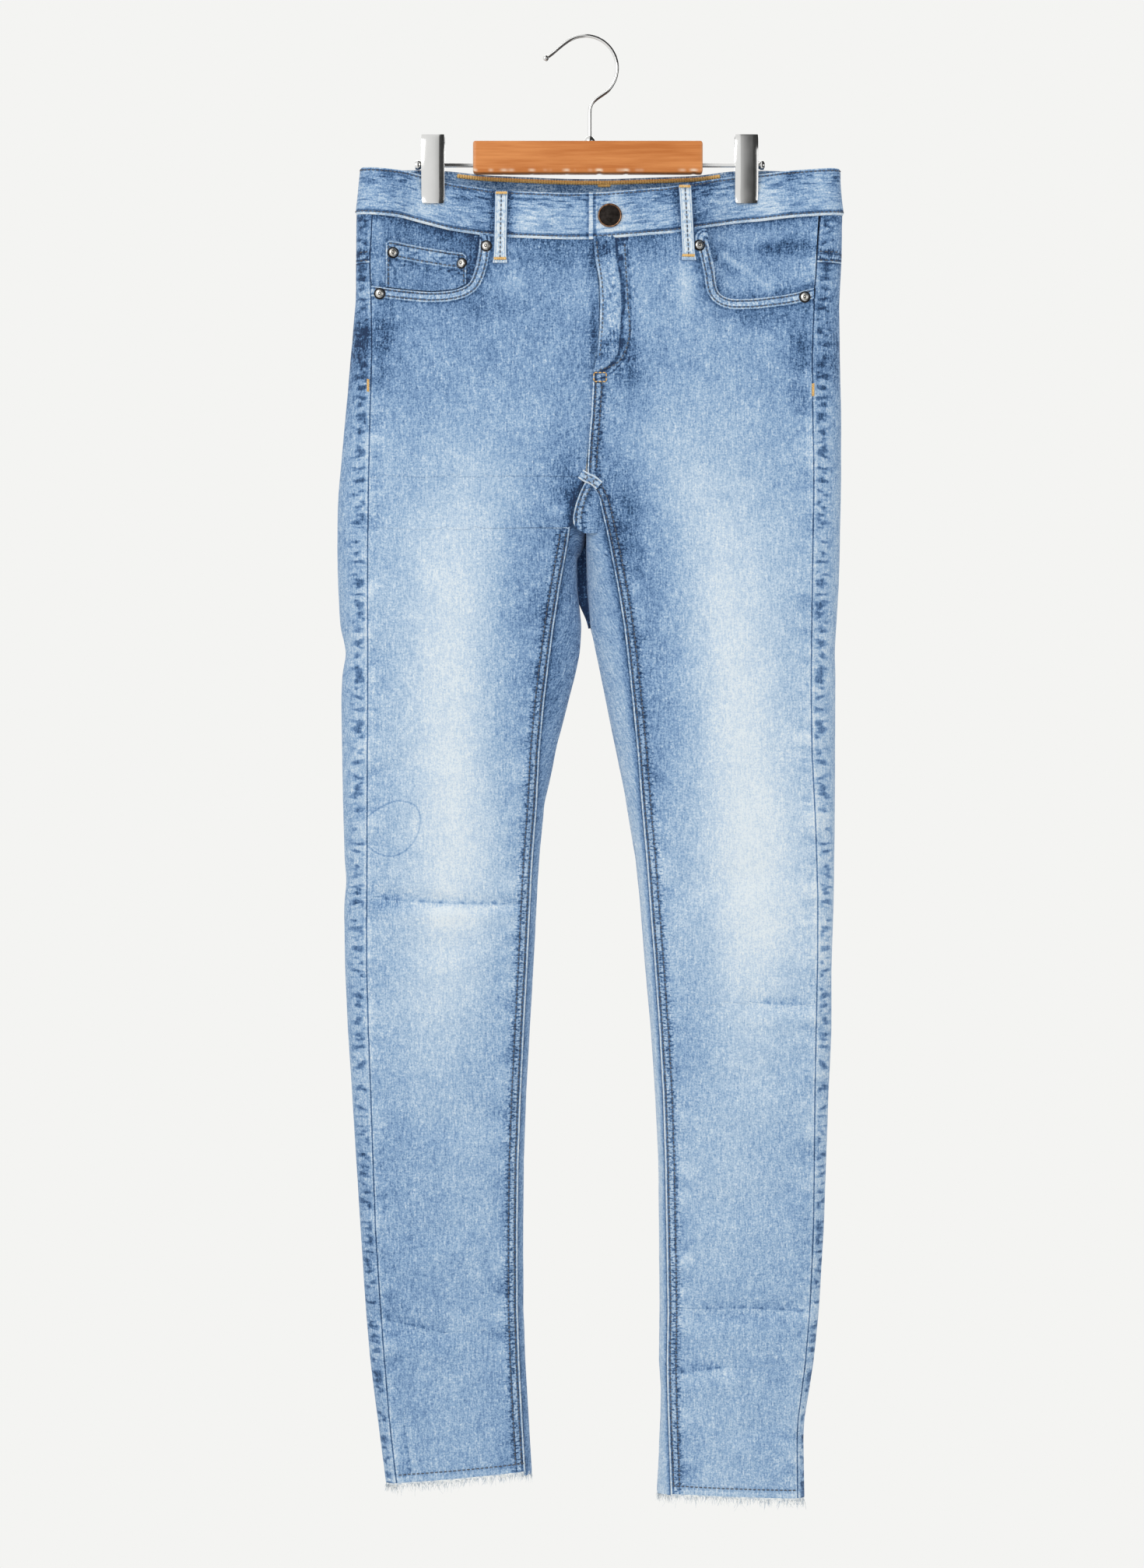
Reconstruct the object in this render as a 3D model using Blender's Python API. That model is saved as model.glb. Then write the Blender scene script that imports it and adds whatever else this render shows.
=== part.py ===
"""Slim fit jeans hanging from a clip hanger.

The origin is under the top of the hanger's hook, where a rail carries it. +Z is up and -Y is the
front of the jeans. Right and left are the wearer's, so the right leg is at -X. Tables and sizes
are in millimetres, and MM turns them into metres where a mesh is made.
"""

import math
import random
from collections import namedtuple

import bmesh
import bpy
import numpy as np
from mathutils.bvhtree import BVHTree

MM = 0.001
SIDES = {"right": -1, "left": 1}

# Walls and gaps
PANEL_WALL = 1.4
BAND_WALL = 2.6
PATCH_WALL = 1.0
SEAM_GAP = 0.3
PATCH_LIFT = 0.5
PATCH_REACH = 6.0  # a patch clears every bump of what carries it within this distance

# The cut
CENTRE_X = -3.0  # where the legs part
CROTCH_Z = -333.0
LEGS_ROUND_Z = -450.0  # each leg is a full tube from here down
BAND_HEIGHT = 35.5
BAND_PROUD = 1.0
BAND_GAP = 1.0  # between the waistband's foot and the panels
CROTCH_SAG = 40.0
CROTCH_SAG_EARLY = 0.8  # below 1 puts the lowest point of the sag nearer the back
CROTCH_ROUND = 1.0  # where the cloth turns under, right at the crotch
UNDER_SHARE = 0.25  # of a leg's width, from where its back turns under to its inner edge
CLIP_X = 118.3
CLIP_SPREAD = 19.0
CLIP_HALF_DEPTH = 2.2
CLIP_PINCH_FROM_Z = -128.0
CLIP_PINCH_TO_Z = -250.0

# Half widths of each leg's outline and the places of its seams on the front, measured outwards
# from the middle of the jeans.
Level = namedtuple("Level", "z outer side_seam inseam inner")
RIGHT_LEVELS = (
    Level(-98, 172.4, 163.9, 0, 0),
    Level(-135, 176.3, 163.9, 0, 0),
    Level(-170, 176.6, 165.8, 0, 0),
    Level(-200, 176.9, 164.6, 0, 0),
    Level(-240, 180.5, 164.0, 0, 0),
    Level(-290, 184.9, 165.3, 0, 0),
    Level(-333, 189.0, 166.2, 3.8, 3.15),
    Level(-350, 190.2, 166.4, 12.3, 3.2),
    Level(-378, 190.8, 166.8, 15.7, 3.3),
    Level(-386, 190.8, 166.8, 17.0, 7.2),
    Level(-415, 190.1, 166.8, 22.4, 8.4),
    Level(-445, 188.5, 166.8, 27.1, 6.2),
    Level(-465, 183.6, 166.8, 29.7, 7.0),
    Level(-480, 187.0, 166.8, 31.6, 10.3),
    Level(-500, 187.7, 166.8, 34.1, 15.7),
    Level(-540, 187.1, 167.1, 37.8, 25.5),
    Level(-580, 186.4, 167.3, 39.8, 34.0),
    Level(-620, 185.2, 167.5, 43.0, 38.0),
    Level(-637, 183.6, 167.6, 43.9, 39.0),
    Level(-655, 185.6, 167.7, 44.8, 40.0),
    Level(-700, 184.9, 167.8, 46.9, 42.3),
    Level(-750, 182.7, 166.5, 49.6, 45.2),
    Level(-800, 179.4, 164.6, 52.0, 48.0),
    Level(-850, 176.3, 163.0, 53.8, 49.7),
    Level(-900, 173.1, 161.2, 54.4, 50.1),
    Level(-960, 169.2, 157.4, 54.3, 49.9),
    Level(-1000, 165.7, 154.3, 53.0, 48.4),
    Level(-1043, 160.2, 150.9, 50.8, 46.0),
    Level(-1088, 154.3, 145.7, 48.2, 43.4),
    Level(-1104, 152.6, 143.9, 47.6, 42.8),
)
LEFT_LEVELS = (
    Level(-98, 187.7, 173.8, 0, 0),
    Level(-135, 191.1, 173.8, 0, 0),
    Level(-170, 190.2, 170.8, 0, 0),
    Level(-200, 188.8, 168.9, 0, 0),
    Level(-240, 188.9, 167.2, 0, 0),
    Level(-290, 190.1, 167.6, 0, 0),
    Level(-333, 189.9, 168.4, -2.2, -2.85),
    Level(-350, 189.7, 168.2, 6.9, -2.8),
    Level(-378, 189.2, 167.6, 13.4, -2.7),
    Level(-415, 188.1, 167.1, 20.7, -2.2),
    Level(-445, 186.2, 166.7, 25.7, -0.3),
    Level(-465, 185.0, 166.5, 28.1, 4.0),
    Level(-480, 185.7, 166.3, 29.7, 7.5),
    Level(-500, 185.6, 166.3, 31.9, 11.8),
    Level(-540, 185.4, 166.9, 35.9, 20.0),
    Level(-580, 185.3, 169.1, 39.0, 27.6),
    Level(-620, 184.8, 170.8, 42.6, 34.5),
    Level(-650, 184.4, 171.5, 44.9, 37.6),
    Level(-700, 182.7, 171.4, 48.8, 41.6),
    Level(-750, 182.6, 170.2, 52.4, 46.0),
    Level(-800, 180.3, 169.4, 55.2, 49.3),
    Level(-850, 178.6, 169.0, 56.7, 51.5),
    Level(-900, 176.8, 168.5, 57.6, 52.1),
    Level(-960, 173.2, 165.8, 58.6, 52.7),
    Level(-1000, 169.1, 162.4, 58.0, 52.2),
    Level(-1020, 166.0, 159.9, 58.4, 53.6),
    Level(-1043, 162.0, 156.8, 59.0, 53.4),
    Level(-1060, 161.4, 156.2, 59.6, 52.4),
    Level(-1095, 162.1, 156.6, 60.9, 50.8),
    Level(-1112, 162.3, 156.8, 61.2, 50.4),
)

# Half depths at the middle of the front and the back, and the round of the edges: how deep the
# cloth is where it turns, and how far from the edge the turn begins.
Depth = namedtuple("Depth", "z front back edge turn")
DEPTHS = (
    Depth(-98, 12.0, 13.0, 7.0, 14.0),
    Depth(-140, 17.0, 18.0, 8.5, 16.0),
    Depth(-190, 24.0, 26.0, 10.0, 20.0),
    Depth(-245, 29.0, 33.0, 12.0, 24.0),
    Depth(-300, 31.0, 36.0, 13.0, 26.0),
    Depth(-337, 31.0, 36.0, 14.0, 28.0),
    Depth(-400, 29.0, 33.0, 14.0, 28.0),
    Depth(-480, 26.0, 29.0, 14.0, 26.0),
    Depth(-560, 23.0, 25.0, 13.0, 24.0),
    Depth(-640, 20.5, 21.0, 12.0, 22.0),
    Depth(-740, 19.5, 20.0, 11.0, 20.0),
    Depth(-850, 18.0, 19.0, 10.0, 18.0),
    Depth(-950, 16.0, 17.0, 9.0, 16.0),
    Depth(-1040, 14.5, 14.5, 9.0, 15.0),
    Depth(-1112, 13.5, 13.5, 9.0, 14.0),
)

# The rows of the panels. The first one follows the waistband, and the last one the hem.
Row = namedtuple("Row", "side front back")
HIP_ROWS = (
    Row(-136, -155, -144),
    Row(-154, -166, -178),
    Row(-171, -178, -213),
    Row(-189, -192, -225),
    Row(-214, -215, -238),
    Row(-244, -244, -254),
    Row(-274, -274, -278),
    Row(-304, -304, -308),
    Row(-333, -333, -345),
)
LEG_ROWS = (
    -350, -364, -378, -390, -405, -424, -445, -465, -482, -508, -540, -575, -610, -637, -648, -656,
    -668, -700, -728, -760, -800, -840, -880, -920, -952, -966, -980, -1005, -1030, -1052,
)
YOKE_ROWS = 2  # the yoke takes the first two spans of rows
MOUTH_ROWS = 3  # and the pocket mouth the first three

# The columns across the front, from the side seam to the middle, and where the mouth begins
FRONT_SHARES = (0.0, 0.1, 0.19, 0.28, 0.38, 0.49, 0.65, 0.82, 1.0)
MOUTH_COLUMN = 5
TURN_STEPS = 4  # round the outer edge
BACK_STEPS = 5  # on across the back
BRIDGE_STEPS = 4  # under the crotch, or round the inner edge

# The scooped pocket mouths, from the waistband down, round and out to the side seam
RIGHT_MOUTH = (
    (82.6, -155.0), (83.3, -165.5), (85.9, -177.2), (91.0, -187.5),
    (101.0, -191.9), (118.0, -193.4), (133.6, -192.4), (149.0, -191.0), (164.8, -188.8),
)
LEFT_MOUTH = (
    (87.0, -153.9), (90.0, -163.5), (93.2, -178.0), (96.0, -192.5),
    (104.0, -198.3), (119.0, -198.8), (134.0, -197.4), (151.0, -195.2), (168.6, -190.6),
)
COIN_X = (153.0, 92.2)
COIN_TOP = ((90.6, -166.6), (152.3, -155.6))
COIN_COLUMNS = 9
COIN_STEPS = 4
COIN_FOOT_CLEAR = 1.2  # between the coin pocket's foot and the front's mouth
MOUTH_DROP = 1.3  # the facing lies this far behind the front

# The edge of the overlapped front, and the J that closes the fly
FRONT_EDGE = ((-122, 2.9), (-159, 2.9), (-170, 4.3), (-187, 7.0), (-203, 7.8), (-224, 7.0),
              (-245, 5.0), (-257, 2.3), (-268, 2.1), (-288, 0.9), (-311, -1.0), (-333, -3.0))
BACK_EDGE = ((-98, 0.0), (-240, -1.0), (-345, -3.0))
FLY_CURVE = ((-156.5, 23.3), (-175, 24.0), (-195, 25.1), (-213, 25.6), (-228, 25.0),
             (-239, 22.8), (-247, 18.6), (-253, 12.0), (-256.5, 5.0))

BAND_TOP_FRONT = ((-189, -98), (-172, -98.4), (-140, -101), (-108, -109.7), (-74.5, -117.0),
                  (-22, -119.4), (4.4, -119.4), (66, -114), (108, -105), (188, -99))
BAND_TOP_BACK = ((-189, -98), (-172, -98.4), (-107, -102.5), (-87, -104.8), (-22, -107.9),
                 (11, -108.2), (48, -106.9), (85.5, -105.4), (108, -102.5), (188, -99))
BAND_UNDERLAP = 22.0
UNDERLAP_ROOT = 4.0  # how far past the middle the underlap starts
UNDERLAP_STEP = 4.5  # and how far before it the band steps in
BAND_EASE = 1.25  # crowds the band's sections towards its outer edges
BAND_SECTIONS = 18  # on each quarter of the ring
BAND_MIDDLE_Z = -120.0  # where those sections are spaced

HEM = {"right": ((43, -1080.6), (154, -1090.6)), "left": ((50, -1097.2), (162, -1101.6))}
STRANDS = 100
STRIP_HEIGHT = 2.0
STRIP_WALL = 0.9
STRIP_INSET = 0.25  # how far the strip stands in from the hem's outer face
STRAND_LENGTH = (3.5, 7.5)
LONG_STRAND = 1.25  # some strands are longer by this
LONG_STRAND_SHARE = 0.12

# Creases: soft troughs across the cloth, each from one point to another
Crease = namedtuple("Crease", "side face from_x from_z to_x to_z half_width depth")
CREASES = (
    Crease("right", "front", 156, -648, 64, -656, 11, 2.6),
    Crease("right", "front", 150, -967, 113, -977, 12, 1.8),
    Crease("left", "front", 128, -728, 156, -729, 12, 1.8),
    Crease("left", "front", 163, -961, 87, -964, 12, 1.8),
    Crease("right", "back", 160, -640, 60, -652, 12, 3.0),
    Crease("right", "back", 150, -676, 80, -666, 12, 2.0),
    Crease("left", "back", 62, -636, 158, -650, 12, 3.0),
    Crease("left", "back", 80, -672, 150, -664, 12, 2.0),
    Crease("right", "back", 70, -404, 150, -380, 13, 2.2),
    Crease("left", "back", 70, -404, 150, -382, 13, 2.2),
)

# Back patch pockets
POCKET_X = 88.0
POCKET_Z = (-232.0, -350.0)
POCKET_HALF_WIDTHS = (63.0, 55.0)  # at the mouth and at the lower corners
POCKET_POINT = -372.0
POCKET_FOOT = 0.8  # the depth of the pointed foot at its corners
POCKET_COLUMNS = 9
POCKET_STEPS = 9

LOOP_WIDTH = 9.6
LOOP_FLARE = 1.2
LOOP_WALL = 1.4
LOOP_BOW = 1.3
LOOP_DROPS = (2.0, 9.0, 20.0)  # its rows below the waistband's top edge
LOOP_PAST_BAND = 2.0  # its rows above and below the waistband's foot
LOOP_TACK = 5.0  # its foot, which the bartack holds down
LOOP_CLEAR = 4.0  # it clears what lies under it this far up

BUTTON_AT = (15.0, -137.3)
BUTTON_RADIUS = 9.0
BUTTON_FOOT = 6.0
RIVET_RADIUS = 3.8
RIVETS = (
    ("right", 148.2, -163.6, "coin_pocket"), ("right", 96.4, -171.8, "coin_pocket"),
    ("right", 77.8, -159.6, "front_right"), ("right", 158.0, -195.0, "front_right"),
    ("left", 82.2, -159.0, "front_left"), ("left", 161.6, -197.6, "front_left"),
)

# The hanger
BLOCK_X = (-88.1, 85.2)
BLOCK_Z = (-102.9, -78.5)
BLOCK_DEPTH = 12.0
ROD_Z = -96.4
ROD_RADIUS = 1.6
ROD_END_X = 132.2
KNOB_RADIUS = 3.5
CLIP_Z = (-125.8, -73.8)
CLIP_WIDTH = 17.6
CLIP_SHEET = 1.0
HOOK_RADIUS = 24.2
HOOK_CENTRE = (-3.5, -22.8)
HOOK_WIRE = 1.4
HOOK_ROOT = 4.2  # how far above the block the wire starts
HOOK_STEM = ((0.0, -60.0), (0.2, -54.5), (1.4, -50.3), (4.4, -46.7))
HOOK_TURNS = range(-48, 129, 11)  # degrees round the arc's centre
HOOK_TAIL = ((-23.4, -7.6), (-28.0, -11.6), (-31.6, -14.3))
HOOK_TIP = 2.3
COLLAR_RADIUS = 4.2

DENIM = (0.17, 0.29, 0.47)
FRAY = (0.72, 0.74, 0.76)
WOOD = (0.50, 0.22, 0.07)
STEEL = (0.72, 0.72, 0.72)
RIVET_METAL = (0.45, 0.44, 0.43)
COPPER = (0.30, 0.17, 0.11)


def clear_scene():
    for thing in list(bpy.data.objects):
        bpy.data.objects.remove(thing)


def material(name, colour, roughness, metallic=0.0):
    made = bpy.data.materials.get(name)
    if made is None:
        made = bpy.data.materials.new(name)
        made.use_nodes = True
        shader = made.node_tree.nodes["Principled BSDF"]
        shader.inputs["Base Color"].default_value = (*colour, 1.0)
        shader.inputs["Roughness"].default_value = roughness
        shader.inputs["Metallic"].default_value = metallic
    return made


def denim():
    return material("denim", DENIM, 0.85)


def add_object(name, points, faces, look, smooth_angle=40.0):
    """An object from points in millimetres and faces, with every face turned outwards."""
    mesh = bpy.data.meshes.new(name)
    mesh.from_pydata([[c * MM for c in point] for point in points], [], faces)
    shape = bmesh.new()
    shape.from_mesh(mesh)
    bmesh.ops.recalc_face_normals(shape, faces=shape.faces)
    shape.to_mesh(mesh)
    shape.free()
    mesh.shade_smooth()
    mesh.set_sharp_from_angle(angle=math.radians(smooth_angle))
    mesh.materials.append(look)
    thing = bpy.data.objects.new(name, mesh)
    bpy.context.scene.collection.objects.link(thing)
    return thing


def line(table, at):
    """Straight interpolation in a table of pairs, which may run up or down."""
    pairs = sorted(table)
    return float(np.interp(at, [p[0] for p in pairs], [p[1] for p in pairs]))


def column(rows, field, z):
    """Straight interpolation of one named column of a table by its z."""
    return line([(row.z, getattr(row, field)) for row in rows], z)


def mix(a, b, share):
    return a + (b - a) * share


def smooth_step(value, low, high):
    share = min(max((value - low) / (high - low), 0.0), 1.0)
    return share * share * (3 - 2 * share)


def quarter_round(share):
    """A quarter circle that rises from 0 at 0 to 1 at 1."""
    return math.sqrt(max(0.0, 1 - (1 - min(max(share, 0.0), 1.0)) ** 2))


class Half:
    """One side of the jeans. Its places are (across, y, z), with across measured outwards."""

    def __init__(self, name):
        self.name = name
        self.sign = SIDES[name]
        self.levels = RIGHT_LEVELS if name == "right" else LEFT_LEVELS
        self.creases = [c for c in CREASES if c.side == name]

    def world(self, place):
        return np.array((self.sign * place[0], place[1], place[2]))

    def outer(self, z):
        return column(self.levels, "outer", z)

    def side_seam(self, z):
        return column(self.levels, "side_seam", z)

    def middle(self, z, face):
        """Where the cloth of this side ends at the middle, above the crotch."""
        return self.sign * line(FRONT_EDGE if face == "front" else BACK_EDGE, z)

    def parted(self, z):
        """0 above the crotch and 1 where the leg is a full tube."""
        return smooth_step(-z, -CROTCH_Z, -LEGS_ROUND_Z)

    def crease(self, face, across, z):
        """How deep the creases are at a point of a face."""
        total = 0.0
        for c in self.creases:
            if c.face != face:
                continue
            run = np.array((c.to_x - c.from_x, c.to_z - c.from_z), float)
            gone = np.array((across - c.from_x, z - c.from_z), float)
            share = float(np.dot(gone, run) / np.dot(run, run))
            beside = float(np.linalg.norm(gone - run * min(max(share, 0.0), 1.0)))
            total += c.depth * math.exp(-((beside / c.half_width) ** 2))
        return total

    def half_depth(self, face, across, z):
        """The distance of the cloth's outer face from the middle plane."""
        outer = self.outer(z)
        edge = column(DEPTHS, "edge", z)
        turn = column(DEPTHS, "turn", z)
        full = column(DEPTHS, face, z)
        crown = 1 - (across / outer) ** 2
        inner_round = 1.0
        if z <= CROTCH_Z:
            inner = column(self.levels, "inner", z)
            open_leg = self.parted(z)
            half = (outer - inner) / 2
            leg_crown = 1 - ((across - inner - half) / half) ** 2
            crown = mix(crown, leg_crown, open_leg)
            inner_round = quarter_round((across - inner) / mix(CROTCH_ROUND, turn, open_leg))
        round_off = quarter_round((outer - across) / turn)
        depth = inner_round * (edge * round_off + (full - edge) * max(crown, 0.0))
        pinch = smooth_step(z, CLIP_PINCH_TO_Z, CLIP_PINCH_FROM_Z)
        if pinch > 0:
            beside = max(abs(across - CLIP_X) - CLIP_WIDTH / 2, 0.0)
            near = math.exp(-((beside / CLIP_SPREAD) ** 2))
            depth = mix(depth, CLIP_HALF_DEPTH, pinch * near)
        return depth - self.crease(face, across, z) * round_off * inner_round

    def place(self, face, across, z):
        depth = self.half_depth(face, across, z)
        return (across, depth if face == "back" else -depth, z)

    def stretch(self, face, start, end, z, count=48):
        """Points along a face from one place across to another, closer near both ends."""
        turns = np.linspace(0.0, math.pi, count)
        acrosses = [mix(start, end, (1 - math.cos(turn)) / 2) for turn in turns]
        return [self.place(face, across, z) for across in acrosses]


def along(points, steps):
    """Evenly spaced points, by length, along a fine line of points."""
    points = np.array(points)
    gone = np.concatenate(([0.0], np.cumsum(np.linalg.norm(np.diff(points, axis=0), axis=1))))
    wanted = np.linspace(0.0, gone[-1], steps + 1)
    return [tuple(np.interp(wanted, gone, points[:, k])[n] for k in range(3))
            for n in range(steps + 1)]


def band_top(x, face):
    return line(BAND_TOP_FRONT if face == "front" else BAND_TOP_BACK, x)


class HalfGrid:
    """The rows and columns of one side. Front columns run from the side seam to the middle, and
    back columns from the side seam round the outer edge, across the back and under the crotch."""

    def __init__(self, half):
        self.half = half
        self.front = {}
        self.back = {}
        hem = sorted(HEM[half.name])
        rows = [("hip", row) for row in HIP_ROWS] + [("leg", z) for z in LEG_ROWS]
        rows.append(("hem", hem))
        self.count = len(rows)
        self.crotch_row = len(HIP_ROWS) - 1
        for index, (kind, row) in enumerate(rows):
            self.fill_row(index, kind, row)
        self.follow_band()

    def row_z(self, kind, row, face, share):
        if kind == "hip":
            return mix(row.side, row.front if face == "front" else row.back, share)
        return row

    def fill_row(self, index, kind, row):
        half = self.half
        mean = row if kind == "leg" else (line(row, 110) if kind == "hem" else row.side)
        leg = index >= self.crotch_row
        for n, share in enumerate(FRONT_SHARES):
            z = mean if kind == "hem" else self.row_z(kind, row, "front", share)
            inner = column(half.levels, "inseam", z) if leg else half.middle(z, "front")
            self.front[index, n] = half.place("front", mix(half.side_seam(z), inner, share), z)
        z = mean
        outer = half.outer(z)
        turn = column(DEPTHS, "turn", z)
        seam = half.side_seam(z)
        rim = half.stretch("front", seam, outer, z) + half.stretch("back", outer, outer - turn, z)
        edge = along(rim, TURN_STEPS)
        if leg:
            inner = column(half.levels, "inner", z)
            end = inner + mix(CROTCH_ROUND, UNDER_SHARE * (outer - inner), half.parted(z))
        else:
            end = half.middle(z, "back")
        across = along(half.stretch("back", outer - turn, end, z), BACK_STEPS)
        cells = edge + across[1:]
        if kind == "hip":
            last = len(cells) - 1
            cells = [self.drop(c, mix(row.side, row.back, max(0.0, n - 2) / (last - 2)))
                     for n, c in enumerate(cells)]
        if leg:
            under = half.stretch("back", end, inner, z)
            under += half.stretch("front", inner, column(half.levels, "inseam", z), z)
            bridge = along(under, BRIDGE_STEPS)
            sag = CROTCH_SAG * (1 - half.parted(z)) ** 2
            start_drop = cells[-1][2] - z
            for n in range(1, BRIDGE_STEPS + 1):
                share = n / BRIDGE_STEPS
                fall = sag * math.sin(math.pi * share ** CROTCH_SAG_EARLY)
                spot = bridge[n]
                cells.append((spot[0], spot[1], spot[2] - fall + start_drop * (1 - share)))
        for n, cell in enumerate(cells):
            self.back[index, n] = cell
        if kind == "hem":
            for grid in (self.front, self.back):
                for key in [key for key in grid if key[0] == index]:
                    across, y, _ = grid[key]
                    grid[key] = (across, y, line(row, across))

    def drop(self, cell, z):
        """The same place across, at another height on the same face."""
        face = "back" if cell[1] > 0 else "front"
        across = min(cell[0], self.half.outer(z))
        if z <= CROTCH_Z:
            across = max(across, column(self.half.levels, "inner", z) + CROTCH_ROUND)
        return self.half.place(face, across, z) if z != cell[2] else cell

    def follow_band(self):
        """The first row lies just under the waistband."""
        for face, grid in (("front", self.front), ("back", self.back)):
            for key in [key for key in grid if key[0] == 0]:
                across, y, _ = grid[key]
                side = "back" if face == "back" and y > 0 else "front"
                z = band_top(self.half.sign * across, side) - BAND_HEIGHT - BAND_GAP
                grid[key] = (across, y, z)

    @property
    def back_last(self):
        return TURN_STEPS + BACK_STEPS

    def normal(self, face, row, n):
        """The outward direction at a grid point, from its neighbours round and along the cloth."""
        def at(r, c):
            if face == "front":
                if c < 0:
                    return self.back.get((r, -c))
                if c > len(FRONT_SHARES) - 1:
                    if r < self.crotch_row:
                        return None
                    over = c - (len(FRONT_SHARES) - 1)
                    return self.back.get((r, self.back_last + BRIDGE_STEPS - over))
                return self.front.get((r, c))
            if c < 0:
                return self.front.get((r, -c))
            if c > self.back_last + BRIDGE_STEPS:
                over = c - self.back_last - BRIDGE_STEPS
                return self.front.get((r, len(FRONT_SHARES) - 1 - over))
            return self.back.get((r, c))

        here = at(row, n)
        ahead = at(row, n + 1) or here
        behind = at(row, n - 1) or here
        above = at(row - 1, n) or here
        below = at(row + 1, n) or here
        round_way = unit(np.array(ahead) - np.array(behind))
        down = unit(np.array(below) - np.array(above))
        out = unit(np.cross(round_way, down))
        return out if face == "front" else -out

    def shifted(self, face, row, n, toward_row, toward_n, gap):
        """A grid point moved a little along the cloth, away from a seam."""
        grid = self.front if face == "front" else self.back
        here = np.array(grid[row, n])
        for step_row, step_n in ((toward_row, 0), (0, toward_n)):
            other = grid.get((row + step_row, n + step_n))
            if (step_row or step_n) and other is not None:
                here = here + unit(np.array(other) - here) * gap
        return here


def unit(vector):
    length = float(np.linalg.norm(vector))
    return vector / length if length > 0 else vector


def wall(name, outer, normals, cells, thickness, half, look, lift=0.0, middle=None):
    """A closed sheet of cloth: outer points moved out by lift, with its inner face behind.
    Where a face is given as the middle, no point crosses that face's middle line."""
    keys = sorted({key for cell in cells for key in cell})
    index = {key: n for n, key in enumerate(keys)}
    count = len(keys)
    front = [outer[key] + normals[key] * lift for key in keys]
    rear = [outer[key] + normals[key] * (lift - thickness) for key in keys]
    for point in front + rear:
        if middle:
            point[0] = max(point[0], half.middle(point[2], middle) + SEAM_GAP / 2)
    front = [half.world(point) for point in front]
    rear = [half.world(point) for point in rear]
    faces = []
    edges = {}
    for cell in cells:
        loop = [index[key] for key in cell]
        faces.append(loop)
        faces.append([n + count for n in reversed(loop)])
        for a, b in zip(loop, loop[1:] + loop[:1]):
            edges[a, b] = True
    for a, b in edges:
        if (b, a) not in edges:
            faces.append([b, a, a + count, b + count])
    return add_object(name, front + rear, faces, look)


def grid_cells(rows, columns):
    return [((r, c), (r, c + 1), (r + 1, c + 1), (r + 1, c)) for r in rows for c in columns]


def mouth_points(half):
    """Which grid points lie on the pocket mouth, and where."""
    mouth = RIGHT_MOUTH if half.name == "right" else LEFT_MOUTH
    keys = [(row, MOUTH_COLUMN) for row in range(MOUTH_ROWS)]
    keys += [(MOUTH_ROWS, n) for n in range(MOUTH_COLUMN, -1, -1)]
    return dict(zip(keys, mouth))


def build_front(half, grid):
    """A front leg with its scooped pocket mouth."""
    last = len(FRONT_SHARES) - 1
    cells = grid_cells(range(MOUTH_ROWS), range(MOUTH_COLUMN, last))
    cells += grid_cells(range(MOUTH_ROWS, grid.count - 1), range(last))
    mouth = mouth_points(half)
    points = {}
    normals = {}
    for row, n in sorted({key for cell in cells for key in cell}):
        to_n = 1 if n == 0 else (-1 if n == last else 0)
        points[row, n] = grid.shifted("front", row, n, 0, to_n, SEAM_GAP / 2)
        normals[row, n] = grid.normal("front", row, n)
        if (row, n) in mouth:
            across, z = mouth[row, n]
            z = points[row, n][2] if row == 0 else z
            points[row, n] = np.array(half.place("front", across, z))
    return wall(f"front_{half.name}", points, normals, cells, PANEL_WALL, half, denim(),
                middle="front")


def build_pocket_facing(half, grid):
    """The facing that shows in the pocket mouth, a little behind the front."""
    cells = grid_cells(range(MOUTH_ROWS), range(MOUTH_COLUMN))
    mouth = mouth_points(half)
    points = {}
    normals = {}
    for row, n in sorted({key for cell in cells for key in cell}):
        spot = grid.shifted("front", row, n, 0, 1 if n == 0 else 0, SEAM_GAP / 2)
        if (row, n) in mouth:
            across, z = mouth[row, n]
            in_across = SEAM_GAP if n >= MOUTH_COLUMN - 1 else 0.0
            in_z = SEAM_GAP if row == MOUTH_ROWS else 0.0
            z = spot[2] if row == 0 else z + in_z
            spot = np.array(half.place("front", min(across + in_across, spot[0] + 30), z))
            if n == 0:
                spot = np.array(half.place("front", half.side_seam(z) - SEAM_GAP / 2, z))
        points[row, n] = spot
        normals[row, n] = grid.normal("front", row, n)
    return wall(f"pocket_facing_{half.name}", points, normals, cells, PATCH_WALL, half, denim(),
                lift=-MOUTH_DROP)


def build_yoke(half, grid):
    """The yoke, from the side seam on the front round to the middle of the back."""
    last = grid.back_last
    cells = grid_cells(range(YOKE_ROWS), range(last))
    points, normals = back_points(grid, cells, 0, YOKE_ROWS, last)
    flipped = [tuple(reversed(cell)) for cell in cells]
    return wall(f"yoke_{half.name}", points, normals, flipped, PANEL_WALL, half, denim(),
                middle="back")


def back_points(grid, cells, first_row, last_row, last):
    points = {}
    normals = {}
    end = last + BRIDGE_STEPS
    for row, n in sorted({key for cell in cells for key in cell}):
        to_n = 1 if n == 0 else 0
        if n == end or (n == last and row < grid.crotch_row):
            to_n = -1
        to_row = 0
        if row == first_row and first_row > 0:
            to_row = 1
        if row == last_row and last_row == YOKE_ROWS:
            to_row = -1
        points[row, n] = grid.shifted("back", row, n, to_row, to_n, SEAM_GAP / 2)
        normals[row, n] = grid.normal("back", row, n)
    return points, normals


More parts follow.
